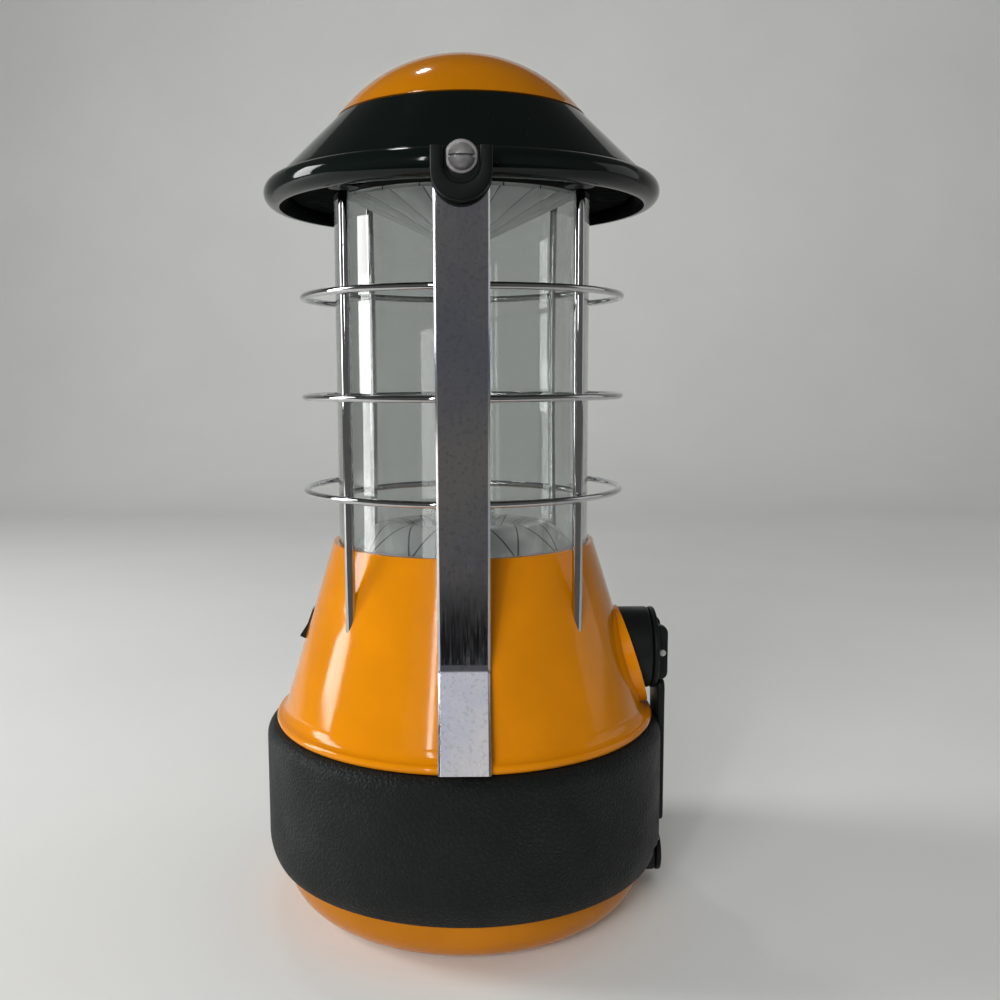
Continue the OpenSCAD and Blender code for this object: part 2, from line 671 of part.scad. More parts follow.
module inner_leads() color(orange) for (side = [-1, 1]) {
    translate([lead_x, side * lead_gap, board_z + board_t])
        cylinder(r = lead_r, h = deck_z - board_z - board_t);
    translate([side * lead_gap, 0, can_top_z]) cylinder(r = lead_r, h = board_z - can_top_z);
}

// Rocker switch, in the cone wall's tilted frame: x outwards, z up the wall
rocker_axis_x = -4.2;
rocker_half = rocker_len / 2;
rocker_rise = 1;
rocker_pin_d = 1.5;
window_len = rocker_len + 2.2;
window_w = rocker_w + 2 * free_gap;
housing_wall = 1.2;
housing_depth = 9;
housing_x = -shell_wall - 0.6;
module at_switch() mirror([1, 0, 0]) at_wall(cone_top_z - switch_drop) children();

module rocker() color(black) at_switch() translate([rocker_axis_x, 0, 0])
    rotate([0, -rocker_tilt, 0]) difference() {
    slab_y(-rocker_w / 2, rocker_w / 2) polygon([[-2.4, -1.6], [0.6, -rocker_half],
        [rocker_rise - rocker_axis_x, -rocker_half], [rocker_rise - rocker_axis_x - 0.5, 0],
        [rocker_rise - rocker_axis_x, rocker_half], [0.6, rocker_half], [-2.4, 1.6]]);
    bar_y(-rocker_w, rocker_w, rocker_pin_d / 2 + run_gap, 0, 0);
}
module rocker_pin() color(steel) at_switch()
    bar_y(-window_w / 2 - housing_wall, window_w / 2 + housing_wall, rocker_pin_d / 2, rocker_axis_x, 0);
module switch_housing() color(black) at_switch() difference() {
    translate([housing_x - housing_depth, -window_w / 2 - housing_wall, -window_len / 2 - housing_wall])
        cube([housing_depth, window_w + 2 * housing_wall, window_len + 2 * housing_wall]);
    translate([housing_x - housing_depth + housing_wall, -window_w / 2, -window_len / 2])
        cube([housing_depth, window_w, window_len]);
    bar_y(-window_w, window_w, rocker_pin_d / 2 + press_gap, rocker_axis_x, 0);
}

// Lamp chamber
trim_h = 5;
trim_t = 1.2;
holder_floor = 2;
holder_h = 4;
holder_r = bulb_r + holder_floor;
stem_r = 3.4;
stem_h = 8;
led_r = 2.5;
led_h = 3.5;
module lamp_deck() color(white) ring(3, deck_r, deck_z, deck_top);
module lens_bottom_gasket() color(rubber) ring(tube_in_r, tube_r, deck_top, tube_z);
module lens_tube() color(clear) ring(tube_in_r, tube_r, tube_z, tube_top);
module lens_top_gasket() color(rubber) ring(tube_in_r, tube_r, tube_top, plate_z);
trim_r = tube_in_r - nest_gap;
module trim_ring() color(steel) ring(trim_r - trim_t, trim_r, deck_top, deck_top + trim_h);

low_reflector_r = tube_in_r - trim_t - 2 * nest_gap;
reflector_t = 1.5;
reflector_in_r = holder_r + free_gap;
reflector_ends = [deck_top + trim_h - 1, deck_top + holder_h + 1];
reflector_high = [(low_reflector_r + reflector_in_r) / 2,
    2 * (deck_top + low_reflector_h) - (reflector_ends[0] + reflector_ends[1]) / 2];
module lower_reflector() color(steel) rotate_extrude() difference() {
    polygon(concat([[reflector_in_r, deck_top], [low_reflector_r, deck_top]],
        curve_pts([low_reflector_r, reflector_ends[0]], reflector_high,
            [reflector_in_r, reflector_ends[1]], 16)));
    polygon(concat([[reflector_in_r + reflector_t, deck_top - over],
            [low_reflector_r - reflector_t, deck_top - over]],
        curve_pts([low_reflector_r - reflector_t, reflector_ends[0] - reflector_t],
            reflector_high - [0, reflector_t],
            [reflector_in_r + reflector_t, reflector_ends[1] - reflector_t], 16)));
}
module lamp_holder() color(white) difference() {
    translate([0, 0, deck_top]) cylinder(r = holder_r, h = holder_h);
    translate([0, 0, deck_top + holder_floor]) cylinder(r = bulb_r + nest_gap, h = holder_h);
}
module bulb_solid(grow) {
    translate([0, 0, deck_top + bulb_h - bulb_r]) sphere(r = bulb_r - grow);
    translate([0, 0, deck_top + holder_floor])
        cylinder(r = bulb_r - grow, h = bulb_h - bulb_r - holder_floor);
}
module lamp_bulb() color(clear) difference() {
    bulb_solid(0);
    bulb_solid(1);
}
module led_stem() color(white) {
    translate([0, 0, deck_top + holder_floor]) cylinder(r = stem_r, h = stem_h);
    translate([0, 0, deck_top + holder_floor + stem_h]) cylinder(r = led_r, h = led_h);
    translate([0, 0, deck_top + holder_floor + stem_h + led_h]) sphere(r = led_r);
}
boss_r = 4;
top_rim = 2;
top_tip_z = plate_z - top_reflector_h;
top_mid = [tube_in_r / 2, plate_z - (top_rim + top_reflector_h) / 2];
top_back = curve_pts([tube_in_r - 2.5, plate_z - 0.4], top_mid + [0, reflector_t],
    [0, top_tip_z + reflector_t], 12);
module upper_reflector() color(steel) {
    rotate_extrude() polygon(concat(
        [[tube_in_r - nest_gap, plate_z], [tube_in_r - nest_gap, plate_z - top_rim]],
        curve_pts([tube_in_r - nest_gap - 1, plate_z - top_rim], top_mid, [0, top_tip_z], 12),
        [for (i = [12:-1:0]) top_back[i]],
        [[tube_in_r - 2.5, plate_z]]));
    translate([0, 0, top_tip_z + reflector_t / 2])
        cylinder(r = boss_r, h = plate_z - top_tip_z - reflector_t / 2);
}

// Wire cage
ring_r = rod_ring_r + rod_d / 2 + ring_wire_d / 2 + press_gap;
nut_h = 2.4;
nut_r = 2.9;
washer_t = 1.8;
washer_r = 4;
rod_top = plate_top + nut_h + over;
module wire_ring(z) color(steel) translate([0, 0, z]) rotate_extrude() translate([ring_r, 0])
    circle(d = ring_wire_d, $fn = 32);
module ring_upper() wire_ring(cone_top_z + ring_high_rise);
module ring_middle() wire_ring(cone_top_z + ring_mid_rise);
module ring_lower() wire_ring(cone_top_z + ring_low_rise);
module cage_rods() color(steel) around(rod_angles, rod_ring_r, rod_foot_z)
    cylinder(d = rod_d, h = rod_top - rod_foot_z);
module rod_washers() color(black) around(rod_angles, rod_ring_r, plate_z - washer_t) difference() {
    cylinder(r = washer_r, h = washer_t);
    translate([0, 0, -over]) cylinder(d = rod_d + 2 * run_gap, h = washer_t + 2 * over);
}
module rod_nuts() color(steel) around(rod_angles, rod_ring_r, plate_top) difference() {
    cylinder(r = nut_r, h = nut_h, $fn = 6);
    translate([0, 0, -over]) cylinder(d = rod_d + 2 * press_gap, h = nut_h + 2 * over);
}

// Cap
cap_screw_d = 3;
cap_screw_len = 10;
cap_head_r = 2.8;
cap_head_h = 1.2;
pivot_boss_r = 3.1;
post_r = 3;
module cap_plate() color(black) difference() {
    translate([0, 0, plate_z]) cylinder(r = plate_r, h = plate_t);
    around(rod_angles, rod_ring_r, plate_z - over)
        cylinder(d = rod_d + 2 * run_gap, h = plate_t + 2 * over);
    around(post_angles, post_ring_r, plate_z - over) {
        cylinder(d = cap_screw_d + 2 * run_gap, h = plate_t + 2 * over);
        cylinder(r = cap_head_r + nest_gap, h = cap_head_h + over);
    }
}
module cap_screws() color(steel) around(post_angles, post_ring_r, plate_z) {
    cylinder(r = cap_head_r, h = cap_head_h);
    cylinder(d = cap_screw_d, h = cap_screw_len + plate_t);
}
shade_spigot_r = spigot_out + 2 * nest_gap;
module shade_solid() rotate_extrude() polygon([[0, shade_low_z], [shade_low_r, shade_low_z],
    [dome_r, band_z], [0, band_z]]);
module cap_shade() color(black) difference() {
    union() {
        rotate_extrude() union() {
            polygon([[shade_in_r, shade_low_z], [shade_low_r, shade_low_z], [dome_r, band_z],
                [shade_spigot_r, band_z],
                [shade_spigot_r, shade_low_z + (shade_in_r - shade_spigot_r) / shade_slope]]);
            translate([rim_r, rim_z]) circle(r = rim_bead, $fn = 64);
        }
        intersection() {
            shade_solid();
            around(post_angles, post_ring_r, shade_low_z) cylinder(r = post_r, h = band_z - shade_low_z);
        }
        around(post_angles, post_ring_r, plate_top)
            cylinder(r = post_r, h = shade_low_z - plate_top + over / 2);
        for (side = [-1, 1]) bar_y(min(side * (plate_r + 0.5), side * (rim_out + 0.2)),
            max(side * (plate_r + 0.5), side * (rim_out + 0.2)), pivot_boss_r, 0, pivot_z);
    }
    around(post_angles, post_ring_r, plate_top - over)
        cylinder(d = cap_screw_d + 2 * press_gap, h = cap_screw_len + over);
    bar_y(-rim_out - over, -plate_r, pivot_shank_d / 2 + press_gap, 0, pivot_z);
    bar_y(plate_r, rim_out + over, pivot_shank_d / 2 + press_gap, 0, pivot_z);
}
dome_edge = asin(dome_r / dome_rad);
module dome_cap() color(orange) rotate_extrude() {
    difference() {
        polygon(concat([[0, band_z]], arc_pts([0, dome_top - dome_rad], dome_rad, 90 - dome_edge, 90, 20)));
        polygon(concat([[0, band_z - over], [spigot_out - shell_wall, band_z - over]],
            arc_pts([0, dome_top - dome_rad], dome_rad - shell_wall,
                acos((spigot_out - shell_wall) / (dome_rad - shell_wall)), 90, 20)));
    }
    translate([spigot_out - 2, band_z - 3.4]) square([2, 3.4 + 1]);
}

// Straps: drawn on the +Y side, and mirrored for the front
bend_y = cone_r(strap_bend_z) + 0.5;
strap_end_y = lip_r + 0.7;
lean = atan2(strap_in - bend_y, strap_straight_z - strap_bend_z);
flare = atan2(strap_end_y - bend_y, strap_bend_z - strap_end_z);
function strap_off(turn_a, turn_b) = strap_t / cos((turn_b - turn_a) / 2)
    * [cos((turn_a + turn_b) / 2), sin((turn_a + turn_b) / 2)];
strap_line = [[strap_in, strap_top_z], [strap_in, strap_straight_z],
    [bend_y, strap_bend_z], [strap_end_y, strap_end_z]];
strap_outer = [strap_line[0] + strap_off(0, 0), strap_line[1] + strap_off(0, -lean),
    strap_line[2] + strap_off(-lean, flare), strap_line[3] + strap_off(flare, flare)];

module strap() color(steel) difference() {
    slab_x(-strap_w / 2, strap_w / 2) polygon(concat(strap_line, [for (i = [3:-1:0]) strap_outer[i]]));
    bar_y(strap_in - over, fitting_in + over, pivot_shank_d / 2 + run_gap, 0, pivot_z);
}
fitting_mid_z = pivot_z - 3.5;
fitting_top_z = pivot_z + 2.1;
notch_r = pivot_head_d / 2 + 1.25;
module strap_end() color(black) difference() {
    slab_y(fitting_in, fitting_in + fitting_t) union() {
        translate([0, fitting_mid_z]) circle(d = fitting_w);
        translate([-fitting_w / 2, fitting_mid_z]) square([fitting_w, fitting_top_z - fitting_mid_z]);
    }
    slab_y(fitting_in + fitting_floor, fitting_in + fitting_t + over) union() {
        translate([0, pivot_z - 2]) circle(r = notch_r);
        translate([-notch_r, pivot_z - 2]) square([2 * notch_r, 9]);
    }
    bar_y(fitting_in - over, fitting_in + fitting_t, pivot_shank_d / 2 + run_gap, 0, pivot_z);
}
module front_strap() mirror([0, 1, 0]) strap();
module back_strap() strap();
module front_strap_end() mirror([0, 1, 0]) strap_end();
module back_strap_end() strap_end();

head_y = fitting_in + fitting_floor + nest_gap;
head_rad = (pivot_head_d * pivot_head_d / 4 + 1.4 * 1.4) / 2.8;
module pivot_screws() color(steel) for (side = [0, 1]) mirror([0, side, 0]) difference() {
    translate([0, plate_r + 0.8, pivot_z]) rotate([-90, 0, 0]) union() {
        cylinder(d = pivot_shank_d, h = head_y - plate_r - 0.8);
        translate([0, 0, head_y - plate_r - 0.8]) rotate_extrude()
            polygon(concat([[0, 0], [pivot_head_d / 2, 0]],
                arc_pts([0, pivot_head_h - head_rad], head_rad, acos(pivot_head_d / 2 / head_rad), 90, 8)));
    }
    translate([-pivot_head_d, head_y + pivot_head_h - 1, pivot_z - 0.45]) cube([2 * pivot_head_d, 2, 0.9]);
}

base_dish();
base_screws();
rubber_boot();
cone_body();
crank_collar();
crank_hub();
crank_shaft();
shaft_clip();
hinge_pin();
arm_core();
arm_sleeve();
arm_tip();
knob_axle();
crank_knob();
gearbox_outer_plate();
gearbox_inner_plate();
gearbox_spacers();
gear_axles();
crank_gear();
first_gear();
second_gear();
rotor_pinion();
rotor_shaft();
rotor_magnet();
generator_can();
stator_coils();
battery_tray();
battery_cells();
control_board();
board_components();
inner_leads();
switch_housing();
rocker();
rocker_pin();
lamp_deck();
lens_bottom_gasket();
lens_tube();
lens_top_gasket();
trim_ring();
lower_reflector();
lamp_holder();
lamp_bulb();
led_stem();
cage_rods();
ring_upper();
ring_middle();
ring_lower();
rod_washers();
rod_nuts();
cap_plate();
cap_screws();
cap_shade();
dome_cap();
upper_reflector();
front_strap();
back_strap();
front_strap_end();
back_strap_end();
pivot_screws();
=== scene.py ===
"""Looks of a wind-up camping lantern: finishes for the solids and finer pieces over them.

The solids' own frame holds: +Z up, the front strap at -Y, the crank at +X. Pieces are drawn in
millimetres and become metres when their meshes are made. The stage is in metres.
"""

import math

import bmesh
import bpy
import numpy as np
from bpy.props import FloatProperty, FloatVectorProperty, IntProperty, PointerProperty
from bpy.types import Operator, Panel, PropertyGroup
from mathutils import Matrix, Vector


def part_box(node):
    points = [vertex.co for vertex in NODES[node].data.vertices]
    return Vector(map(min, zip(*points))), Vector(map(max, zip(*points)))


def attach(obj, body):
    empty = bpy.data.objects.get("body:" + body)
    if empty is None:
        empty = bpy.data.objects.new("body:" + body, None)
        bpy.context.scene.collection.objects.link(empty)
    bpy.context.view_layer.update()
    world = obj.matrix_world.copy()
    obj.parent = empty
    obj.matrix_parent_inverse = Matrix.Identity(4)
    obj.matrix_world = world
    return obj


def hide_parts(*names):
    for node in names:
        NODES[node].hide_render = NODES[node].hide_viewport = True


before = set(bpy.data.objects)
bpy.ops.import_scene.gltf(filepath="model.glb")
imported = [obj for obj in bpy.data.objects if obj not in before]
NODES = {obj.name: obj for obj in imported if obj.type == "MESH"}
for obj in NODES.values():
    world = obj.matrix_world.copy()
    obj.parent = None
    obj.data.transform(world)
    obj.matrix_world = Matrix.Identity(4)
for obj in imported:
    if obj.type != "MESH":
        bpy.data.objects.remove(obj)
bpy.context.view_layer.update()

bl_info = {
    "name": "Wind-up Lantern",
    "version": (1, 0, 0),
    "blender": (4, 5, 0),
    "location": "View3D > Sidebar > Lantern",
    "description": "Dresses a wind-up camping lantern and sets its studio",
    "category": "Object",
}

MM = 0.001
MIRROR_Y = np.array([[1.0, -1.0, 1.0], [1.0, 1.0, 1.0]])
DUST = (0.5, 0.5, 0.48)
SPECK = (0.95, 0.95, 0.95)
TUBE_TINT = (0.70, 0.72, 0.71)
GLASS_TINT = (0.99, 1.0, 1.0)


def length(name, text, default):
    """A size in millimetres."""
    return FloatProperty(name=name, description=text, default=default, min=0.0, max=1000.0, precision=2)


def reach(name, what, default):
    """A distance from the lantern's axis, in millimetres."""
    return length(name, "Distance from the axis to " + what, default)


def colour(name, text, default):
    """A linear colour."""
    return FloatVectorProperty(
        name=name, description=text, default=default, subtype="COLOR", min=0.0, max=1.0)


def share(name, text, default):
    """A plain ratio."""
    return FloatProperty(name=name, description=text, default=default, min=0.0, max=1.0, subtype="FACTOR")


def setting(name, text, default, unit="POWER"):
    """A number in one of Blender's units."""
    return FloatProperty(name=name, description=text, default=default, unit=unit)


class LanternColours(PropertyGroup):
    """Base colours of the finishes."""

    shell: colour("Shell orange", "Colour of the cone, base and dome", (0.70, 0.235, 0.002))
    cap: colour("Cap black", "Colour of the shade", (0.004, 0.007, 0.006))
    moulding: colour("Moulding black", "Colour of the small black mouldings", (0.007, 0.009, 0.009))
    rubber: colour("Boot rubber", "Colour of the boot", (0.0085, 0.0115, 0.011))
    bright: colour("Polished steel", "Colour of the wire and straps", (0.68, 0.68, 0.69))
    steel: colour("Plain steel", "Colour of pins, screws and plates", (0.44, 0.43, 0.43))
    silver: colour("Reflector silver", "Colour of the two reflectors", (0.80, 0.82, 0.82))
    floor: colour("Floor", "Colour of the floor and backdrop", (0.88, 0.89, 0.87))


class LanternShell(PropertyGroup):
    """Sizes of the cap, the boot and the lamp chamber, in millimetres."""

    dome_top: length("Dome top", "Height of its crown", 247.7)
    dome_edge_z: length("Dome edge height", "Height of the line between dome and shade", 229.9)
    dome_r: length("Dome radius", "Radius of the line between dome and shade", 35.8)
    spigot_step: length("Spigot step", "Step from the dome's edge in to its spigot", 2.8)
    spigot_h: length("Spigot depth", "Depth of the spigot under the dome's edge", 3.4)
    spigot_t: length("Spigot wall", "Thickness of the spigot", 2.0)
    rim_r: length("Rim radius", "Radius to the middle of the rolled rim", 53.25)
    rim_z: length("Rim height", "Height of the middle of the rolled rim", 208.7)
    rim_bead: length("Rim bead", "Radius of its bead", 3.75)
    wall: length("Cap wall", "Thickness of its walls", 2.4)
    boot_r: length("Boot radius", "Its outer radius", 59.8)
    boot_in: length("Boot bore", "Its inner radius", 55.7)
    boot_low: length("Boot bottom", "Height of its lower edge", 14.5)
    boot_high: length("Boot top", "Height of its upper edge", 54.8)
    boot_flat: reach("Boot flat", "the flat under the crank arm", 58.0)
    boot_turn: length("Boot turn", "Radius of its lower bend", 14.0)
    boot_lip: length("Boot lip", "Radius of its upper edge", 4.0)
    tube_r: length("Tube radius", "Its outer radius", 37.2)
    tube_in: length("Tube bore", "Its inner radius", 35.2)
    tube_low: length("Tube bottom", "Height of its lower end", 103.8)
    tube_high: length("Tube top", "Height of its upper end", 206.95)
    deck_z: length("Deck height", "Height of its upper face", 102.6)
    plate_z: length("Plate height", "Height of its lower face", 208.15)
    foot_t: length("Foot ring wall", "Thickness of the ring at the tube's foot", 1.2)
    foot_h: length("Foot ring height", "Height of the ring at the tube's foot", 5.5)
    bulb_r: length("Bulb radius", "Its outer radius", 9.6)
    bulb_z: length("Bulb height", "Height of its round end above the deck", 13.8)
    bulb_t: length("Bulb wall", "Thickness of its glass", 1.0)
    top_depth: length("Upper reflector depth", "Drop from the cap plate to its tip", 17.0)
    top_rim: length("Upper reflector rim", "Depth of its rim", 2.0)
    low_bore: length("Lower reflector bore", "Radius of its hole", 12.1)
    low_pull: length("Lower reflector pull", "Height over the deck that its bulge is drawn to", 21.5)
    gores: IntProperty(
        name="Gores", description="Number of curved panels round a reflector", default=20, min=6, max=60)
    gore_depth: share("Gore depth", "Rise of a seam as a share of the radius", 0.035)


class LanternCage(PropertyGroup):
    """Sizes of the wire cage and the straps, in millimetres."""

    rod_r: length("Rod radius", "Radius of the upright rods", 1.4)
    rod_ring: length("Rod circle", "Radius of the circle that the rods stand on", 44.1)
    rod_low: length("Rod bottom", "Height of their lower ends", 80.0)
    rod_high: length("Rod top", "Height of their upper ends", 213.55)
    ring_r: length("Ring radius", "Radius to the middle of the ring wire", 46.47)
    wire_r: length("Ring wire radius", "Radius of the ring wire", 0.95)
    strap_w: length("Strap width", "Width of a strap", 13.7)
    strap_t: length("Strap thickness", "Thickness of a strap", 1.2)
    strap_edge: length("Strap edge", "Width of its slanted edge", 0.62)
    strap_y: reach("Strap top distance", "its upper stretch", 58.0)
    strap_rise: length("Strap rise", "Height of its upper end above its pivot", 1.9)
    strap_kink: length("Strap kink", "Drop from the pivot to its upper bend", 10.5)
    waist_y: reach("Strap waist distance", "its lower bend", 48.45)
    waist_z: length("Strap waist height", "Height of its lower bend", 81.0)
    tail_y: reach("Strap end distance", "its lower end", 58.15)
    tail_z: length("Strap end height", "Height of its lower end", 55.5)
    pivot_z: length("Pivot height", "Height of the pivot screws", 208.5)
    fitting_y: reach("Fitting face", "its back face", 58.6)
    fitting_w: length("Fitting width", "Its width over all", 14.8)
    fitting_t: length("Fitting thickness", "Its thickness over all", 4.7)
    fitting_floor: length("Fitting floor", "Thickness of its floor", 1.4)
    head_d: length("Screw head", "Diameter of its head", 6.3)
    head_h: length("Screw head height", "Height of its head", 2.3)
    slot_w: length("Screw slot", "Width of the slot in its head", 0.7)
    washer_in: length("Washer bore", "Its inner radius", 1.7)
    washer_r: length("Washer radius", "Its outer radius", 4.1)
    shank_r: length("Shank radius", "Radius of a screw's shank", 1.75)
    shank_in: reach("Shank end", "its end", 50.0)


class LanternCrank(PropertyGroup):
    """Sizes of the crank, in millimetres."""

    axis_z: length("Crank height", "Height of its axis", 74.2)
    collar_r: length("Collar radius", "Radius of the collar and the hub", 12.3)
    collar_in: reach("Collar start", "its hidden end", 46.0)
    collar_x: reach("Collar end", "its end", 56.2)
    hub_x: reach("Hub back", "its back face", 56.5)
    hub_face: reach("Hub face", "its front face", 58.0)
    ear_x: reach("Ear end", "the end of the hub's ears", 61.1)
    ear_half: length("Ear half height", "Half the height of the hub's ears", 8.2)
    ear_round: length("Ear corner", "Rounding of its outer corners", 2.6)
    ear_in: length("Ear gap", "Half the gap between the ears", 4.6)
    ear_t: length("Ear thickness", "Thickness of an ear", 3.4)
    arm_in: reach("Arm back", "its back face", 58.4)
    arm_out: reach("Arm face", "its front face", 60.6)
    arm_w: length("Arm width", "Width of its sleeve", 14.0)
    arm_round: length("Sleeve corner", "Rounding of its corners", 3.0)
    arm_high: length("Sleeve top", "Height of its upper end", 65.4)
    arm_low: length("Sleeve bottom", "Height of its lower end", 21.05)
    knob_z: length("Knob height", "Height of its axis", 9.05)
    knob_r: length("Knob radius", "Radius of the knob", 5.9)
    knob_x: reach("Knob back", "its back face", 55.2)
    knob_end: reach("Knob face", "its front face", 58.7)
    neck_r: length("Knob neck radius", "Radius of the recess in its back", 3.3)
    neck_h: length("Knob neck depth", "Depth of the recess in its back", 1.1)
    tip_x: reach("Tip back", "the back of the arm's tip", 59.0)
    pin_x: reach("Pin distance", "the hinge pin", 59.5)
    pin_r: length("Pin radius", "Radius of the hinge pin", 1.0)
    pin_end: length("Pin end", "Half its length over its rounded ends", 8.2)
    cone_r: length("Cone top radius", "Radius of the cone at its top", 38.9)
    cone_top: length("Cone top", "Height of its top", 108.2)
    cone_slope: share("Cone slope", "Widening of the cone for each millimetre downwards", 0.31)
    pad_h: length("Pad height", "Height of the crank's pad over the cone", 1.0)


class LanternStage(PropertyGroup):
    """Camera and light."""

    focal: setting("Focal length", "Lens on a 36 mm wide sensor", 38.38, "CAMERA")
    distance: setting("Distance", "Camera to the lantern's axis", 0.3198, "LENGTH")
    height: setting("Height", "Camera above the floor", 0.1569, "LENGTH")
    pitch: setting("Pitch", "Tilt below the horizon", math.radians(6.63), "ROTATION")
    roll: setting("Roll", "Turn about the line of sight", math.radians(-0.316), "ROTATION")
    shift: setting("Shift", "Sideways lens shift", 0.0368, "NONE")
    key: setting("Key lamp", "Power of the small lamp above the back", 0.5)
    left: setting("Left window", "Power of the tall lamp at the left", 6.0)
    right: setting("Right window", "Power of the tall lamp at the right", 0.5)
    fill: setting("Fill", "Power of the soft lamp at the front left", 7.4)
    strip: setting("Strip lamp", "Power of the narrow upright lamp near the camera", 1.4)
    top: setting("Top lamp", "Power of the wide lamp overhead", 4.4)


def shade(rgb, k):
    """The colour made k times as bright."""
    return tuple(min(1.0, c * k) for c in rgb)


class Net:
    """The node tree of a material or a world in the making."""

    def __init__(self, owner):
        owner.use_nodes = True
        self.nodes, self.links = owner.node_tree.nodes, owner.node_tree.links

    def put(self, value, socket):
        """Links an output to an input, or sets the input to a constant."""
        if isinstance(value, bpy.types.NodeSocket):
            self.links.new(value, socket)
        else:
            socket.default_value = value

    def axes(self, vector):
        """A vector's X, Y and Z."""
        node = self.nodes.new("ShaderNodeSeparateXYZ")
        self.links.new(vector, node.inputs["Vector"])
        return node.outputs

    def calc(self, kind, first, second=0.0):
        """One sum, each side a number or an output."""
        node = self.nodes.new("ShaderNodeMath")
        node.operation = kind
        self.put(first, node.inputs[0])
        self.put(second, node.inputs[1])
        return node.outputs[0]


class Finish(Net):
    """A material in the making: patterns on object coordinates that feed its Principled shader."""

    def __init__(self, name):
        self.mat = bpy.data.materials.new(name)
        super().__init__(self.mat)
        self.shader = self.nodes["Principled BSDF"]
        self.place = self.nodes.new("ShaderNodeTexCoord").outputs["Object"]

    def feed(self, name, value):
        """Gives one of the shader's inputs an output or a constant."""
        self.put(value, self.shader.inputs[name])

    def noise(self, scale, detail=4.0, stretch=(1, 1, 1)):
        """Noise, drawn out along an axis by stretch."""
        mapping = self.nodes.new("ShaderNodeMapping")
        mapping.inputs["Scale"].default_value = stretch
        tex = self.nodes.new("ShaderNodeTexNoise")
        tex.inputs["Scale"].default_value = scale
        tex.inputs["Detail"].default_value = detail
        self.links.new(self.place, mapping.inputs["Vector"])
        self.links.new(mapping.outputs["Vector"], tex.inputs["Vector"])
        return tex.outputs["Fac"]

    def cells(self, scale, feature="F1"):
        """Distance from the middle or the edge of irregular cells."""
        tex = self.nodes.new("ShaderNodeTexVoronoi")
        tex.feature = feature
        tex.inputs["Scale"].default_value = scale
        self.links.new(self.place, tex.inputs["Vector"])
        return tex.outputs["Distance"]

    def ramp(self, fac, *stops):
        """A change from one (place, grey or colour) to another."""
        node = self.nodes.new("ShaderNodeValToRGB")
        self.links.new(fac, node.inputs["Fac"])
        for point, (place, value) in zip(node.color_ramp.elements, stops, strict=True):
            point.position = place
            rgb = (value,) * 3 if isinstance(value, float) else tuple(value)
            point.color = (*rgb, 1.0)
        return node.outputs["Color"]

    def mix(self, fac, a, b):
        """A blend from a to b, each a colour or an output."""
        node = self.nodes.new("ShaderNodeMix")
        node.data_type = "RGBA"
        inputs = {socket.name: socket for socket in node.inputs if socket.enabled}
        self.links.new(fac, inputs["Factor"])
        for name, value in (("A", a), ("B", b)):
            self.put(value if isinstance(value, bpy.types.NodeSocket) else (*value, 1.0), inputs[name])
        return next(socket for socket in node.outputs if socket.enabled)

    def bump(self, height, strength, distance):
        """Relief of the surface, its distance in metres."""
        node = self.nodes.new("ShaderNodeBump")
        node.inputs["Strength"].default_value = strength
        node.inputs["Distance"].default_value = distance
        self.links.new(height, node.inputs["Height"])
        self.feed("Normal", node.outputs["Normal"])


def moulded(name, rgb, rough, grain=900.0, relief=0.00002, specks=True, shine=0.38):
    """Moulded plastic: faint mottling, uneven gloss, a fine skin and a few dust specks."""
    f = Finish(name)
    tone = f.ramp(f.noise(60.0, 3.0), (0.3, shade(rgb, 0.93)), (0.7, shade(rgb, 1.06)))
    if specks:
        dust = f.ramp(f.cells(420.0), (0.035, 1.0), (0.06, 0.0))
        thin = f.ramp(f.noise(35.0, 2.0), (0.55, 0.0), (0.75, 0.35))
        tone = f.mix(f.calc("MULTIPLY", dust, thin), tone, DUST)
    f.feed("Base Color", tone)
    f.feed("Roughness", f.ramp(f.noise(140.0, 5.0), (0.3, rough * 0.8), (0.75, rough * 1.35)))
    f.feed("Specular IOR Level", shine)
    f.bump(f.noise(grain, 2.0), 0.25, relief)
    return f.mat


def small_moulding(name, rgb, rough, shine=0.38):
    """Moulded plastic with the finer skin of the small black pieces."""
    return moulded(name, rgb, rough, grain=1500.0, relief=0.00004, shine=shine)


def painted_shade_black(name, rgb):
    """Dull black moulding that throws hardly any light back, its colour the given black darkened to 30 to 60
    per cent as painted shade under the cap.
    """
    f = Finish(name)
    f.feed("Base Color", f.ramp(f.noise(80.0, 3.0), (0.3, shade(rgb, 0.3)), (0.7, shade(rgb, 0.6))))
    f.feed("Roughness", f.ramp(f.noise(300.0, 3.0), (0.3, 0.6), (0.7, 0.8)))
    f.feed("IOR", 1.04)
    return f.mat


def grained_rubber(name, rgb):
    """Boot rubber: small raised pebbles between fine creases, the creases darkened as painted shade, in a
    patchy tone and gloss.
    """
    f = Finish(name)
    pebble_and_crease_shade = f.ramp(f.cells(750.0, "DISTANCE_TO_EDGE"), (0.0, 0.0), (0.3, 1.0))
    soft = f.ramp(f.noise(45.0, 4.0), (0.3, shade(rgb, 0.65)), (0.75, shade(rgb, 1.1)))
    # painted shade: the colour falls to 55 per cent in the creases between the pebbles
    f.feed("Base Color", f.mix(pebble_and_crease_shade, shade(rgb, 0.55), soft))
    f.feed("Roughness", f.ramp(f.noise(80.0, 4.0), (0.3, 0.5), (0.7, 0.66)))
    f.feed("Specular IOR Level", 0.27)
    f.bump(pebble_and_crease_shade, 0.6, 0.00025)
    return f.mat


def bright_metal(name, rgb, rough, stretch=(1, 1, 1), scale=900.0):
    """Polished metal: fine drawn lines, uneven gloss and faint dull spots."""
    f = Finish(name)
    f.feed("Metallic", 1.0)
    spots = f.ramp(f.noise(260.0, 5.0), (0.52, 0.0), (0.72, 0.5))
    f.feed("Base Color", f.mix(spots, rgb, shade(rgb, 0.72)))
    lines = f.noise(scale, 3.0, stretch)
    f.feed("Roughness", f.ramp(lines, (0.3, rough * 0.6), (0.7, rough * 1.5)))
    f.bump(lines, 0.08, 0.00001)
    return f.mat


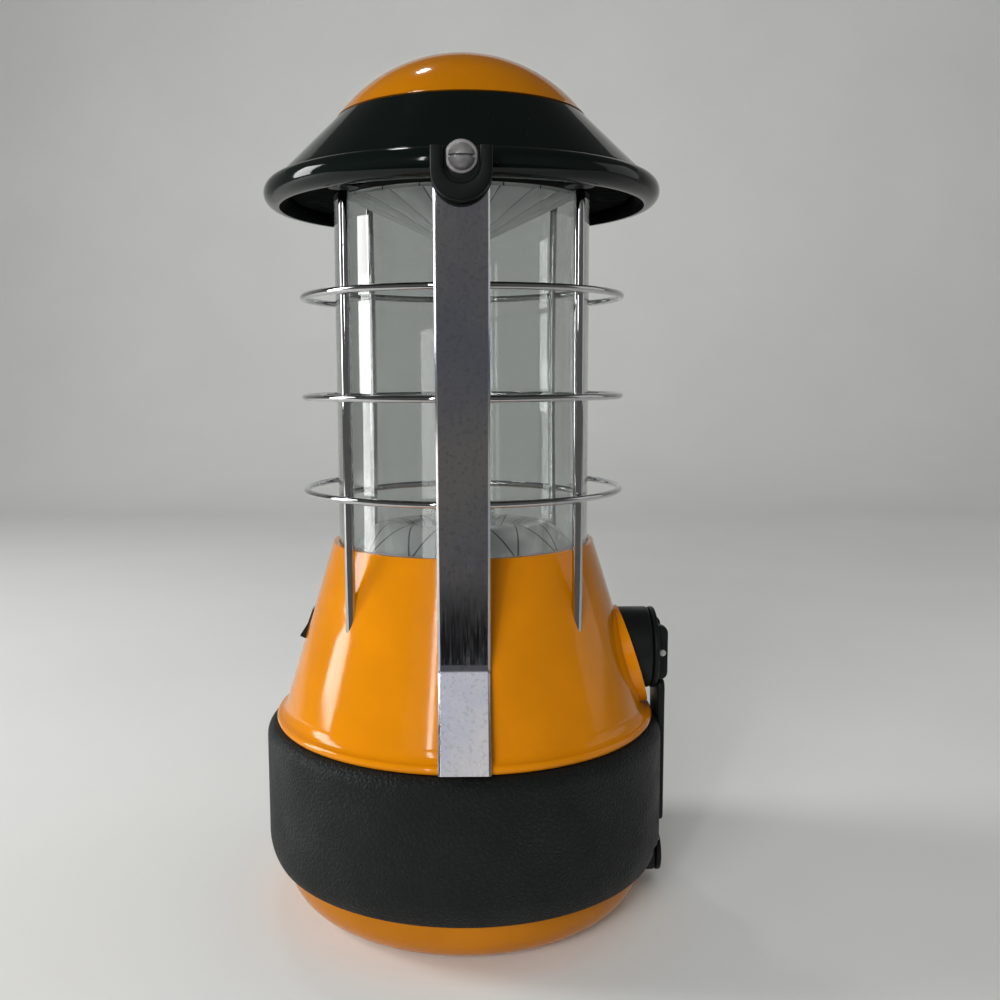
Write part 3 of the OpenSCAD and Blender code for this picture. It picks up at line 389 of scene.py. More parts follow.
def satin(name, rgb):
    """Bead-blasted metal: a soft grey with fine grain and dull spots."""
    f = Finish(name)
    f.feed("Metallic", 0.55)
    f.feed("Base Color", f.ramp(f.noise(700.0, 4.0), (0.3, shade(rgb, 0.8)), (0.7, shade(rgb, 1.1))))
    grain = f.noise(2600.0, 3.0)
    f.feed("Roughness", f.ramp(grain, (0.3, 0.3), (0.7, 0.45)))
    f.bump(grain, 0.1, 0.00002)
    return f.mat


def gored_silver(name, rgb, count, twist=0.0, metal=0.3):
    """Metallised moulding with thin dark lines where its panels meet, at equal angles round Z, as painted
    shade along the seams.

    Twist bends two sets of lines opposite ways as they run outwards, so that they cross.
    """
    f = Finish(name)
    f.feed("Metallic", metal)
    x, y, _ = f.axes(f.place)
    radius = f.calc("SQRT", f.calc("ADD", f.calc("MULTIPLY", x, x), f.calc("MULTIPLY", y, y)))
    turns = f.calc("MULTIPLY", f.calc("ARCTAN2", y, x), count / 2)
    bends = [f.calc("ADD", turns, f.calc("MULTIPLY", radius, way * twist)) for way in (1.0, -1.0)]
    seams = [f.calc("ABSOLUTE", f.calc("SINE", bend)) for bend in bends]
    # painted shade: the colour falls to 12 per cent along each seam
    line = f.ramp(f.calc("MINIMUM", *seams), (0.03, 1.0), (0.085, 0.0))
    soft = f.ramp(f.noise(120.0, 4.0), (0.3, shade(rgb, 0.9)), (0.7, rgb))
    f.feed("Base Color", f.mix(line, soft, shade(rgb, 0.12)))
    f.feed("Roughness", f.ramp(f.noise(200.0, 3.0), (0.3, 0.16), (0.7, 0.26)))
    return f.mat


def strap_steel(name, rgb):
    """Polished strip: a clear mirror with fine upright brushing, cloudy patches and bright speckles."""
    f = Finish(name)
    f.feed("Metallic", 1.0)
    cool = (rgb[0] * 0.74, rgb[1] * 0.77, rgb[2] * 0.9)
    warm = (rgb[0], rgb[1] * 0.96, rgb[2] * 0.94)
    cloud = f.ramp(f.noise(45.0, 5.0, (1, 1, 0.7)), (0.36, cool), (0.64, warm))
    spots = f.ramp(f.noise(900.0, 6.0), (0.36, 0.3), (0.46, 0.0))
    cloud = f.mix(spots, cloud, shade(rgb, 0.45))
    specks = f.ramp(f.cells(900.0), (0.07, 0.45), (0.16, 0.0))
    f.feed("Base Color", f.mix(specks, cloud, SPECK))
    brush = f.noise(1800.0, 3.0, (1, 1, 0.03))
    f.feed("Roughness", f.ramp(brush, (0.3, 0.07), (0.7, 0.17)))
    f.bump(brush, 0.06, 0.00001)
    return f.mat


def clear_moulding(name, tint, ior=1.49, rough=0.015):
    """Clear plastic or glass with a faint unevenness in its gloss."""
    f = Finish(name)
    f.feed("Transmission Weight", 1.0)
    f.feed("IOR", ior)
    soft = f.noise(40.0, 3.0, (1, 1, 0.15))
    f.feed("Base Color", f.ramp(soft, (0.3, shade(tint, 0.985)), (0.7, tint)))
    f.feed("Roughness", f.ramp(soft, (0.35, rough * 0.3), (0.8, rough * 1.6)))
    return f.mat


def dress(mat, *names):
    """Gives CAD nodes a finish."""
    for name in names:
        slots = NODES[name].data.materials
        slots.clear()
        slots.append(mat)


def oblong(left, right, low, high):
    """The four corners of an upright rectangle."""
    return [[left, low], [right, low], [right, high], [left, high]]


def corners(points, radius, steps=8, closed=False):
    """Rounds a line's corners, each by a parabola between the points a radius away on its two sides."""
    p = np.asarray(points, float)
    r = np.array(np.broadcast_to(np.asarray(radius, float), len(p)))
    if not closed:
        r[[0, -1]] = 0.0
    back, ahead = np.roll(p, 1, 0) - p, np.roll(p, -1, 0) - p
    a = p + r[:, None] * back / np.linalg.norm(back, axis=1, keepdims=True)
    b = p + r[:, None] * ahead / np.linalg.norm(ahead, axis=1, keepdims=True)
    t = np.linspace(0.0, 1.0, steps)[None, :, None]
    line = (1 - t) ** 2 * a[:, None] + 2 * t * (1 - t) * p[:, None] + t * t * b[:, None]
    line = line.reshape(-1, 2)
    return line[np.r_[True, np.linalg.norm(np.diff(line, axis=0), axis=1) > 1e-6]]


def arc(centre, radius, start, end, count=24):
    """Points of a circle from one angle to another, in degrees."""
    a = np.radians(np.linspace(start, end, count))
    return np.stack([centre[0] + radius * np.cos(a), centre[1] + radius * np.sin(a)], -1)


def turned(profile, turns=256, axis="z", centre=(0.0, 0.0)):
    """A profile of (radius, place along the axis) carried round the axis: shape (angle, profile point, 3)."""
    profile = np.asarray(profile, float)
    a = np.linspace(0.0, 2 * math.pi, turns, endpoint=False)[:, None]
    across, up = centre[0] + profile[:, 0] * np.cos(a), centre[1] + profile[:, 0] * np.sin(a)
    along = np.broadcast_to(profile[:, 1], across.shape)
    order = {"z": (across, up, along), "x": (along, across, up), "y": (across, along, up)}
    return np.stack(order[axis], -1)


def shut(rings):
    """Rings of points with a ring added at each end that falls together at its middle."""
    ends = [np.broadcast_to(ring.mean(0), ring.shape)[None] for ring in (rings[0], rings[-1])]
    return np.concatenate([ends[0], rings, ends[1]])


def carried(path, section):
    """A closed section of (across, outwards) carried along a path of (outwards, up), its ends drawn shut."""
    path, section = np.asarray(path, float), np.asarray(section, float)
    way = np.gradient(path, axis=0)
    way /= np.linalg.norm(way, axis=1, keepdims=True)
    out = np.stack([-way[:, 1], way[:, 0]], -1)
    x = np.broadcast_to(section[:, 0], (len(path), len(section)))
    y = path[:, :1] + out[:, :1] * section[:, 1]
    z = path[:, 1:] + out[:, 1:] * section[:, 1]
    body = np.stack([x, y, z], -1)
    return shut(body)


def quarter_round(edge, steps=5):
    """A quarter circle at an edge, as its distances in from the two faces that meet there."""
    a = np.linspace(0.0, math.pi / 2, steps)
    return edge * (1 - np.sin(a)), edge * (1 - np.cos(a))


def edge_ring(width, depth, edge):
    """A rounded rectangle as (share of the width, depth) for each width: shape (widths, points, 2)."""
    near, deep = quarter_round(edge)
    inset = np.concatenate([near, near[::-1]]) / np.asarray(width, float)[:, None]
    level = np.broadcast_to(np.concatenate([deep, depth - deep[::-1]]), inset.shape)
    back = np.stack([1 - inset[:, ::-1], level[:, ::-1]], -1)
    return np.concatenate([np.stack([inset, level], -1), back], 1)


def band(outer, inner, low, high, edge):
    """A flat band between two lines in (x, z), from y = low to y = high, with rounded edges."""
    outer, inner = np.asarray(outer, float), np.asarray(inner, float)
    ring = edge_ring(np.linalg.norm(outer - inner, axis=1), high - low, edge)
    flat = outer[:, None] + (inner - outer)[:, None] * ring[..., :1]
    body = np.stack([flat[..., 0], low + ring[..., 1], flat[..., 1]], -1)
    return shut(body)


def slab(outline, low, high, edge):
    """A plate of an outline: rings set in by a quarter circle at both faces, which close at the middle."""
    outline = np.asarray(outline, float)
    middle = outline.mean(0)
    way = np.roll(outline, -1, 0) - np.roll(outline, 1, 0)
    way /= np.linalg.norm(way, axis=1, keepdims=True)
    inward = np.stack([-way[:, 1], way[:, 0]], -1)
    inward *= np.sign(((middle - outline) * inward).sum(1, keepdims=True))
    inset, deep = quarter_round(edge)
    inset = np.concatenate([inset, inset[::-1]])[:, None, None]
    end = np.broadcast_to(middle, outline.shape)[None]
    flat = np.concatenate([end, outline[None] + inward[None] * inset, end])
    level = np.concatenate([[low], low + deep, high - deep[::-1], [high]])
    return np.concatenate([flat, np.broadcast_to(level[:, None, None], flat.shape[:2] + (1,))], -1)


def quads(grid, wrap_u, wrap_v):
    """Points and faces of a grid of points, shape (u, v, 3), closed in u or v where wrapped."""
    nu, nv = grid.shape[:2]
    rows, places = np.arange(nu if wrap_u else nu - 1), np.arange(nv if wrap_v else nv - 1)
    u, v = np.meshgrid(rows, places, indexing="ij")
    u2, v2 = (u + 1) % nu, (v + 1) % nv
    faces = np.stack([u * nv + v, u2 * nv + v, u2 * nv + v2, u * nv + v2], -1)
    return grid.reshape(-1, 3), faces.reshape(-1, 4)


def surface(name, parts, sharp=40.0):
    """A mesh of grids, each given as (grid, closed in u, closed in v); points that fall together merge."""
    shapes = [quads(*part) for part in parts]
    starts = np.cumsum([0] + [len(points) for points, _ in shapes])
    points = np.concatenate([points for points, _ in shapes])
    faces = np.concatenate([faces + start for (_, faces), start in zip(shapes, starts)])
    mesh = bpy.data.meshes.new(name)
    mesh.from_pydata(points.tolist(), [], faces.tolist())
    bm = bmesh.new()
    bm.from_mesh(mesh)
    bmesh.ops.remove_doubles(bm, verts=bm.verts, dist=1e-7)
    bmesh.ops.recalc_face_normals(bm, faces=bm.faces)
    bm.to_mesh(mesh)
    bm.free()
    mesh.shade_smooth()
    mesh.set_sharp_from_angle(angle=math.radians(sharp))
    obj = bpy.data.objects.new(name, mesh)
    bpy.context.scene.collection.objects.link(obj)
    return obj


def piece(name, parts, mat, slot, body, *nodes, sharp=40.0):
    """A piece drawn in millimetres that stands for solids, with its finish and moving body; its slot is not
    used.
    """
    obj = surface(name, [(np.asarray(grid) * MM, u, v) for grid, u, v in parts], sharp)
    obj.data.materials.append(mat)
    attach(obj, body)
    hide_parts(*nodes)
    return obj


class LANTERN_OT_stage(Operator):
    """Floor, backdrop, lights and the camera at the photograph's angle"""

    bl_idname = "lantern.stage"
    bl_label = "Stage"

    def execute(self, context):
        settings, colours = context.scene.lantern_stage, context.scene.lantern_colours
        scene = context.scene
        scene.view_settings.view_transform = "Standard"
        self.camera(scene, settings)
        self.floor(colours.floor)
        self.world(scene)
        self.lights(scene, settings)
        return {"FINISHED"}

    def camera(self, scene, settings):
        data = bpy.data.cameras.new("camera")
        data.sensor_width = 36.0
        data.lens = settings.focal
        data.shift_x = settings.shift
        data.clip_start = 0.01
        cam = bpy.data.objects.new("camera", data)
        turn = Matrix.Rotation(math.pi / 2 - settings.pitch, 4, "X") @ Matrix.Rotation(settings.roll, 4, "Z")
        cam.matrix_world = Matrix.Translation((0.0, -settings.distance, settings.height)) @ turn
        scene.collection.objects.link(cam)
        scene.camera = cam

    def floor(self, rgb):
        """A floor that sweeps up into a wall: a flat run, a quarter circle and a wall, drawn out sideways."""
        front, depth, bend, rise, half = -0.2, 0.9, 0.45, 1.2, 6.0
        curve = arc((depth, bend), bend, -90.0, 0.0)
        run = np.concatenate([[[front, 0.0]], curve, [[depth + bend, rise]]])
        side = np.array([-half, half])
        grid = np.stack(np.broadcast_arrays(side[:, None], run[None, :, 0], run[None, :, 1]), -1)
        sweep = surface("backdrop", [(grid, False, False)])
        f = Finish("backdrop_paper")
        f.feed("Base Color", f.ramp(f.noise(6.0, 3.0), (0.3, shade(rgb, 0.98)), (0.7, shade(rgb, 1.02))))
        f.feed("Roughness", 0.85)
        f.bump(f.noise(900.0, 2.0), 0.2, 0.0001)
        sweep.data.materials.append(f.mat)

    def world(self, scene):
        """A dim room with a bright patch high behind the camera, darker overhead and darkest low down.

        Where it is seen straight or through glass it is an even pale grey.
        """
        room, overhead, underfoot, bright, pale = 0.12, 0.03, 0.004, 0.7, 0.6
        world = bpy.data.worlds.new("studio")
        net = Net(world)
        axes = net.axes(net.nodes.new("ShaderNodeTexCoord").outputs["Generated"])

        def step(axis, start, end, low=0.0, high=1.0):
            node = net.nodes.new("ShaderNodeMapRange")
            for name, value in (("From Min", start), ("From Max", end), ("To Min", low), ("To Max", high)):
                node.inputs[name].default_value = value
            net.links.new(axes[axis], node.inputs["Value"])
            return node.outputs["Result"]

        patch = step("Y", -0.3, -0.55, 0.0, bright)
        for edge in (("Z", 0.2, 0.34), ("Z", 0.75, 0.55), ("X", -0.26, -0.16), ("X", 0.26, 0.16)):
            patch = net.calc("MULTIPLY", patch, step(*edge))
        low, high = step("Z", -0.374, -0.35, underfoot, room), step("Z", 0.3, 0.8, room, overhead)
        dim = net.calc("MINIMUM", low, high)
        path = net.nodes.new("ShaderNodeLightPath").outputs
        seen = net.calc("MAXIMUM", path["Is Camera Ray"], path["Is Transmission Ray"])
        level = net.nodes.new("ShaderNodeMix")
        net.put(seen, level.inputs["Factor"])
        net.put(net.calc("ADD", patch, dim), level.inputs["A"])
        net.put(pale, level.inputs["B"])
        back = net.nodes["Background"].inputs
        net.put(level.outputs["Result"], back["Strength"])
        net.put((1.0, 0.99, 0.965, 1.0), back["Color"])
        scene.world = world

    def lights(self, scene, settings):
        """Soft lamps: two tall windows, a narrow one near the camera, a small one above and two wide ones."""
        for name, place, aim, size, watts, mirrored in (
            ("window_left", (-0.95, 0.10, 0.42), (0.0, 0.0, 0.13), (0.26, 0.62), settings.left, True),
            ("window_right", (0.90, 0.15, 0.42), (0.0, 0.0, 0.13), (0.50, 0.62), settings.right, True),
            ("fill", (-0.42, -1.0, 0.42), (0.0, 0.0, 0.1), (0.6, 0.6), settings.fill, False),
            ("strip", (-0.37, -0.98, 0.46), (0.0, 0.0, 0.1), (0.045, 0.40), settings.strip, True),
            ("key", (-0.21, 0.47, 1.08), (0.0, 0.0, 0.2), (0.07, 0.045), settings.key, True),
            ("overhead", (0.5, 0.2, 1.6), (0.3, 0.3, 0.0), (1.6, 1.6), settings.top, False),
        ):
            data = bpy.data.lights.new(name, "AREA")
            data.shape = "RECTANGLE"
            data.size, data.size_y = size
            data.energy = watts
            lamp = bpy.data.objects.new(name, data)
            lamp.location = place
            lamp.visible_glossy = mirrored
            lamp.rotation_euler = (Vector(aim) - Vector(place)).to_track_quat("-Z", "Y").to_euler()
            scene.collection.objects.link(lamp)


class LANTERN_OT_cap(Operator):
    """The orange dome and the black shade with its rolled rim"""

    bl_idname = "lantern.cap"
    bl_label = "Cap"

    def execute(self, context):
        c, s = context.scene.lantern_colours, context.scene.lantern_shell
        spigot = s.dome_r - s.spigot_step
        # painted shade: the dome is the cone's orange darkened to 72 per cent, standing for the weaker light
        # it gets
        orange = moulded("dome_orange_painted_shade", shade(c.shell, 0.72), 0.09, shine=0.27)
        dome, cone, lining = (turned(draw(s, spigot)) for draw in (self.dome, self.cone, self.lining))
        piece("dome", [(dome, True, False)], orange, "orange_shell", "lantern", "dome_cap", sharp=50.0)
        black = moulded("cap_black", c.cap, 0.07, shine=0.27)
        piece("shade", [(cone, True, True)], black, "cap_black", "lantern", "cap_shade", sharp=35.0)
        # painted shade: a darker, unreflecting copy of the cap black on a thin skin under the brim
        dull = painted_shade_black("lining_black_painted_shade", c.cap)
        piece("shade_lining_painted_shade", [(lining, True, True)], dull, "cap_black", "lantern", "cap_shade", sharp=60.0)
        return {"FINISHED"}

    def dome(self, s, spigot):
        """Part of a ball through the crown and the edge, hollow by the wall, with a spigot under the edge."""
        rise, edge_z = s.dome_top - s.dome_edge_z, s.dome_edge_z
        ball = (s.dome_r ** 2 + rise ** 2) / (2 * rise)
        middle = (0.0, s.dome_top - ball)
        edge = math.degrees(math.acos(s.dome_r / ball))
        inner = math.degrees(math.acos((spigot - s.wall) / (ball - s.wall)))
        bore, foot_z = spigot - s.spigot_t, edge_z - s.spigot_h
        line = np.concatenate([
            arc(middle, ball, 90.0, edge + 0.6, 48),
            [[s.dome_r - 0.05, edge_z + 0.18], [s.dome_r - 0.3, edge_z], [spigot, edge_z], [spigot, foot_z],
             [bore, foot_z], [bore, edge_z + 0.5]],
            arc(middle, ball - s.wall, inner + 2.0, 90.0, 32)])
        line[[0, -1], 0] = 0.0
        return line

    def cone(self, s, spigot):
        """A straight slope from the dome's edge to the rim, most of a circle for the bead, and a way back."""
        edge_z, top = s.dome_edge_z, s.rim_z + s.rim_bead
        return np.concatenate([
            [[spigot + 0.2, edge_z - 0.1], [s.dome_r - 0.25, edge_z - 0.1], [s.dome_r + 0.05, edge_z - 0.25]],
            np.linspace([s.dome_r + 0.3, edge_z - 0.5], [s.rim_r - 0.5, top + 0.5], 24),
            [[s.rim_r - 0.15, top + 0.06]],
            arc((s.rim_r, s.rim_z), s.rim_bead, 86.0, -185.0, 56),
            np.linspace([s.rim_r - s.rim_bead + 0.2, s.rim_z + 1.6], [spigot + 0.2, edge_z - s.wall], 12)])

    def lining(self, s, spigot):
        """A thin skin under the slope and the inner side of the bead: a dark sheet of painted shade under the
        brim.
        """
        under = np.concatenate([
            arc((s.rim_r, s.rim_z), s.rim_bead + 0.06, -100.0, -186.0, 18),
            np.linspace([s.rim_r - s.rim_bead + 0.1, s.rim_z + 1.6],
                        [spigot + 0.15, s.dome_edge_z - s.wall - 0.1], 12)])
        return np.concatenate([under, under[::-1] + [0.3, 0.2]])


class LANTERN_OT_boot(Operator):
    """The grained rubber boot, with the flat that the crank arm lies against"""

    bl_idname = "lantern.boot"
    bl_label = "Boot"

    def execute(self, context):
        scene = context.scene
        c, s, k = scene.lantern_colours, scene.lantern_shell, scene.lantern_crank
        turn, lip, room = s.boot_turn, s.boot_lip, 0.4
        side = np.concatenate([
            [[s.boot_in, s.boot_low + 0.3], [s.boot_in + 0.3, s.boot_low]],
            arc((s.boot_r - turn, s.boot_low + turn / 2), turn, -29.0, 0.0, 14),
            np.linspace([s.boot_r, s.boot_low + turn / 2 + 2.0], [s.boot_r, s.boot_high - lip - 2.0], 30),
            arc((s.boot_r - lip, s.boot_high - lip), lip, 0.0, 88.0, 14),
            [[s.boot_in + 0.1, s.boot_high], [s.boot_in, s.boot_high - 0.3]],
            np.linspace([s.boot_in, s.boot_high - 2.0], [s.boot_in, s.boot_low + 2.0], 12)])
        grid = turned(side, 480)
        # the flat and the room for the knob's sweep: points beyond an upright plane come back to it
        away = np.hypot(grid[..., 1], grid[..., 2] - k.axis_z)
        reach = k.axis_z - k.knob_z
        swept = np.abs(away - reach) < k.knob_r + room
        limit = np.where(swept, k.knob_x - room, s.boot_flat)
        grid[..., 0] = np.minimum(grid[..., 0], limit)
        rubber = grained_rubber("boot_rubber", c.rubber)
        piece("boot", [(grid, True, True)], rubber, "boot_rubber", "lantern", "rubber_boot", sharp=50.0)
        return {"FINISHED"}


class LANTERN_OT_lamp(Operator):
    """The clear tube, its bright foot ring, the glass bulb and the two gored reflectors"""

    bl_idname = "lantern.lamp"
    bl_label = "Lamp chamber"

    def execute(self, context):
        c, s = context.scene.lantern_colours, context.scene.lantern_shell
        tube = corners(oblong(s.tube_in, s.tube_r, s.tube_low, s.tube_high), 0.4, 5, closed=True)
        piece("tube", [(turned(tube), True, True)], clear_moulding("clear_tube", TUBE_TINT), "clear_plastic",
              "lantern", "lens_tube")
        foot_r = s.tube_in - 0.1
        foot = corners(oblong(foot_r - s.foot_t, foot_r, s.deck_z, s.deck_z + s.foot_h), 0.5, 6, closed=True)
        bright = satin("trim_chrome", shade(c.silver, 1.15))
        piece("foot_ring", [(turned(foot), True, True)], bright, "polished_steel", "lantern", "trim_ring")
        glass = clear_moulding("bulb_glass", GLASS_TINT, 1.5)
        piece("bulb", [(turned(self.bulb(s), 128), True, False)], glass, "bulb_glass", "lantern", "lamp_bulb")
        upper = self.gored(self.upper(s), s.gores, s.gore_depth)
        pale = gored_silver("silver_top", shade(c.silver, 1.2), s.gores, metal=0.1)
        piece("reflector_top", [(upper, True, False)], pale, "reflector_silver", "lantern", "upper_reflector",
              sharp=60.0)
        # partly painted reflection: the crossing lines stand for the lower reflector's own seams and for the
        # upper reflector's ribs mirrored in it
        crossed = gored_silver("silver_low", c.silver, s.gores - 6, twist=140.0)
        piece("reflector_low", [(turned(self.lower(s)), True, True)], crossed, "reflector_silver", "lantern",
              "lower_reflector", sharp=60.0)
        return {"FINISHED"}

    def bulb(self, s):
        """A round-ended glass: a quarter circle and a straight side, drawn again inside by the wall."""
        middle, inner, foot_z = (0.0, s.deck_z + s.bulb_z), s.bulb_r - s.bulb_t, s.deck_z + 2.0
        line = np.concatenate([arc(middle, s.bulb_r, 90.0, 0.0, 28), [[s.bulb_r, foot_z], [inner, foot_z]],
                               arc(middle, inner, 0.0, 90.0, 24)])
        line[[0, -1], 0] = 0.0
        return line

    def upper(self, s):
        """A flat back, a short rim and a straight cone down to the tip."""
        back_z, rim_z, rim_r = s.plate_z - 0.1, s.plate_z - s.top_rim, s.tube_in - 0.3
        cone = np.linspace([rim_r - 0.8, rim_z], [0.0, s.plate_z - s.top_depth], 24)
        return np.concatenate([[[0.0, back_z], [rim_r, back_z], [rim_r, rim_z]], cone])

    def lower(self, s):
        """A ring whose top is a parabola from its outer foot to its bore, drawn up towards a point."""
        out_r, in_r, foot_z = s.tube_in - 1.6, s.low_bore, s.deck_z + 0.1
        pull = [(out_r + in_r) / 2, s.deck_z + s.low_pull]
        t = np.linspace(0.0, 1.0, 40)[:, None]
        over = ((1 - t) ** 2 * np.array([out_r, s.deck_z + 4.0]) + 2 * t * (1 - t) * np.array(pull)
                + t * t * np.array([in_r, s.deck_z + 5.0]))
        return np.concatenate([[[in_r, foot_z], [out_r, foot_z]], over])

    def gored(self, profile, count, depth):
        """A turned profile whose seams rise by depth * radius * (1 - |sin(count * angle / 2)|)."""
        grid = turned(profile, count * 24)
        angle = np.arctan2(grid[..., 1], grid[..., 0])
        radius = np.hypot(grid[..., 0], grid[..., 1])
        flat = np.arange(len(profile)) < 3
        rise = depth * radius * (1.0 - np.abs(np.sin(angle * count / 2)))
        grid[..., 2] += np.where(flat, 0.0, rise)
        return grid


class LANTERN_OT_cage(Operator):
    """The upright rods and the three wire rings"""

    bl_idname = "lantern.cage"
    bl_label = "Cage"

    def execute(self, context):
        c, s = context.scene.lantern_colours, context.scene.lantern_cage
        # painted reflection: the rods and rings take the strap steel darkened to 80 per cent, standing for
        # the dark room they mirror
        wire = bright_metal("wire_steel_painted_reflection", shade(c.bright, 0.8), 0.05, (1, 1, 0.05))
        rod = corners(oblong(0.0, s.rod_r, s.rod_low, s.rod_high), 0.4, 5)
        spots = arc((0.0, 0.0), s.rod_ring, 45.0, 315.0, 4)
        rods = [(turned(rod, 40, centre=spot), True, False) for spot in spots]
        piece("rods", rods, wire, "polished_steel", "lantern", "cage_rods")
        for name, node in (("ring_a", "ring_upper"), ("ring_b", "ring_middle"), ("ring_c", "ring_lower")):
            low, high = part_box(node)
            loop = arc((s.ring_r, (low[2] + high[2]) / 2 / MM), s.wire_r, 0.0, 345.0, 24)
            piece(name, [(turned(loop), True, True)], wire, "polished_steel", "lantern", node)
        return {"FINISHED"}


class LANTERN_OT_straps(Operator):
    """The two polished straps, their moulded fittings and the slotted pivot screws"""

    bl_idname = "lantern.straps"
    bl_label = "Straps"

    def execute(self, context):
        c, s = context.scene.lantern_colours, context.scene.lantern_cage
        polish = strap_steel("strap_steel", c.bright)
        black = small_moulding("fitting_black", shade(c.moulding, 0.6), 0.4, shine=0.22)
        steel = satin("screw_steel", shade(c.steel, 0.8))
        for name, flip in zip(("front", "back"), MIRROR_Y):
            node = name + "_strap"
            piece(name + "_band", [(self.strap(s) * flip, False, True)], polish, "polished_steel", node, node,
                  sharp=50.0)
            fitting = [(part * flip, False, True) for part in self.fitting(s)]
            piece(name + "_fitting", fitting, black, "black_plastic", node, node + "_end", sharp=50.0)
        heads = [(part * flip, u, v) for flip in MIRROR_Y for part, u, v in self.screw(s)]
        piece("pivot_heads", heads, steel, "steel", "lantern", "pivot_screws", sharp=30.0)
        return {"FINISHED"}

    def strap(self, s):
        """A section with slanted front edges carried down the strap's line, whose bends are parabolas."""
        half, edge, thick = s.strap_w / 2, s.strap_edge, s.strap_t / 2
        line = [[0.0, -thick], [half, -thick], [half, thick - edge], [half - edge, thick], [0.0, thick]]
        right = corners(line, [0.0, 0.3, 0.08, 0.08, 0.0], 5)[1:-1]
        section = np.concatenate([right, right[::-1] * [-1.0, 1.0]])
        path = corners([[s.strap_y, s.pivot_z + s.strap_rise], [s.strap_y, s.pivot_z - s.strap_kink],
                        [s.waist_y, s.waist_z], [s.tail_y, s.tail_z]], [0.0, 7.0, 1.4, 0.0], 14)
        steps = np.r_[0.0, np.cumsum(np.linalg.norm(np.diff(path, axis=0), axis=1))]
        even = np.union1d(np.linspace(0.0, steps[-1], 60), steps)
        even = even[np.r_[True, np.diff(even) > 1e-3]]
        return carried(np.stack([np.interp(even, steps, path[:, i]) for i in (0, 1)], -1), section)

    def fitting(self, s):
        """A round-ended floor plate and a U-shaped wall on it, with a lower step inside the U."""
        top, notch, notch_z = s.pivot_z + 2.1, s.head_d / 2 + 1.25, s.pivot_z - 2.0
        face, floor_y, rise = s.fitting_y, s.fitting_y + s.fitting_floor, s.fitting_y + s.fitting_t
        outer = self.horseshoe(s.fitting_w / 2, s.pivot_z - 3.5, top)
        inner = self.horseshoe(notch, notch_z, top)
        step = inner * [0.86, 1.0]
        step[2:-2] = arc((0.0, notch_z + 0.3), notch * 0.84, 180.0, 360.0, 40)
        plate = np.delete(outer, [1, len(outer) - 2], 0) - [0.0, 0.5]
        floor = slab(plate, face, floor_y, 0.3)[..., [0, 2, 1]]
        wall = band(outer, inner, floor_y - 0.2, rise, 0.7)
        ledge = band(inner * [1.02, 1.0], step, floor_y - 0.2, floor_y + 1.3, 0.3)
        return floor, wall, ledge

    def horseshoe(self, radius, middle, top):
        """A U-shaped line: half a circle about a height, with straight sides up to a top."""
        side = (top + middle) / 2
        bow = arc((0.0, middle), radius, 180.0, 360.0, 40)
        return np.concatenate([[[-radius, top], [-radius, side]], bow, [[radius, side], [radius, top]]])

    def screw(self, s):
        """A low dome cut by a slot, drawn in rows across the slot, over a bright washer and a plain shank."""
        rad, base, side_h = s.head_d / 2, s.fitting_y + s.fitting_floor + 0.1, 0.8
        ball = (rad ** 2 + (s.head_h - side_h) ** 2) / (2 * (s.head_h - side_h))
        slot = s.slot_w / 2
        rows = np.concatenate([rad * np.sin(np.linspace(-math.pi / 2, -math.asin(slot / rad), 16)),
                               [-slot + 1e-4, slot - 1e-4],
                               rad * np.sin(np.linspace(math.asin(slot / rad), math.pi / 2, 16))])
        reach = np.sqrt(np.maximum(rad ** 2 - rows ** 2, 0.0))[:, None]
        x = reach * np.sin(np.linspace(-math.pi / 2, math.pi / 2, 25))
        z = np.broadcast_to(rows[:, None], x.shape)
        y = s.head_h + np.sqrt(ball ** 2 - x ** 2 - z ** 2) - ball
        cut = (np.abs(rows) < slot)[:, None]
        y = base + np.where(cut, np.minimum(y - 0.9, 1.1), y)
        dome = np.stack([x, y, z + s.pivot_z], -1)
        foot = dome[:, [0, -1]] * [1.0, 0.0, 1.0] + [0.0, base, 0.0]
        under = foot.mean(1, keepdims=True)
        head = np.concatenate([under, foot[:, :1], dome, foot[:, 1:]], 1)
        low, pivot = base - 0.08, (0.0, s.pivot_z)
        line = [[s.washer_in, low], [s.washer_r, low], [s.washer_r - 0.2, base + 0.35],
                [s.washer_in, base + 0.45]]
        washer = turned(corners(line, 0.12, 4, closed=True), 96, "y", pivot)
        shank = turned(oblong(0.0, s.shank_r, s.shank_in, base), 48, "y", pivot)
        return (head, False, True), (washer, True, True), (shank, True, False)


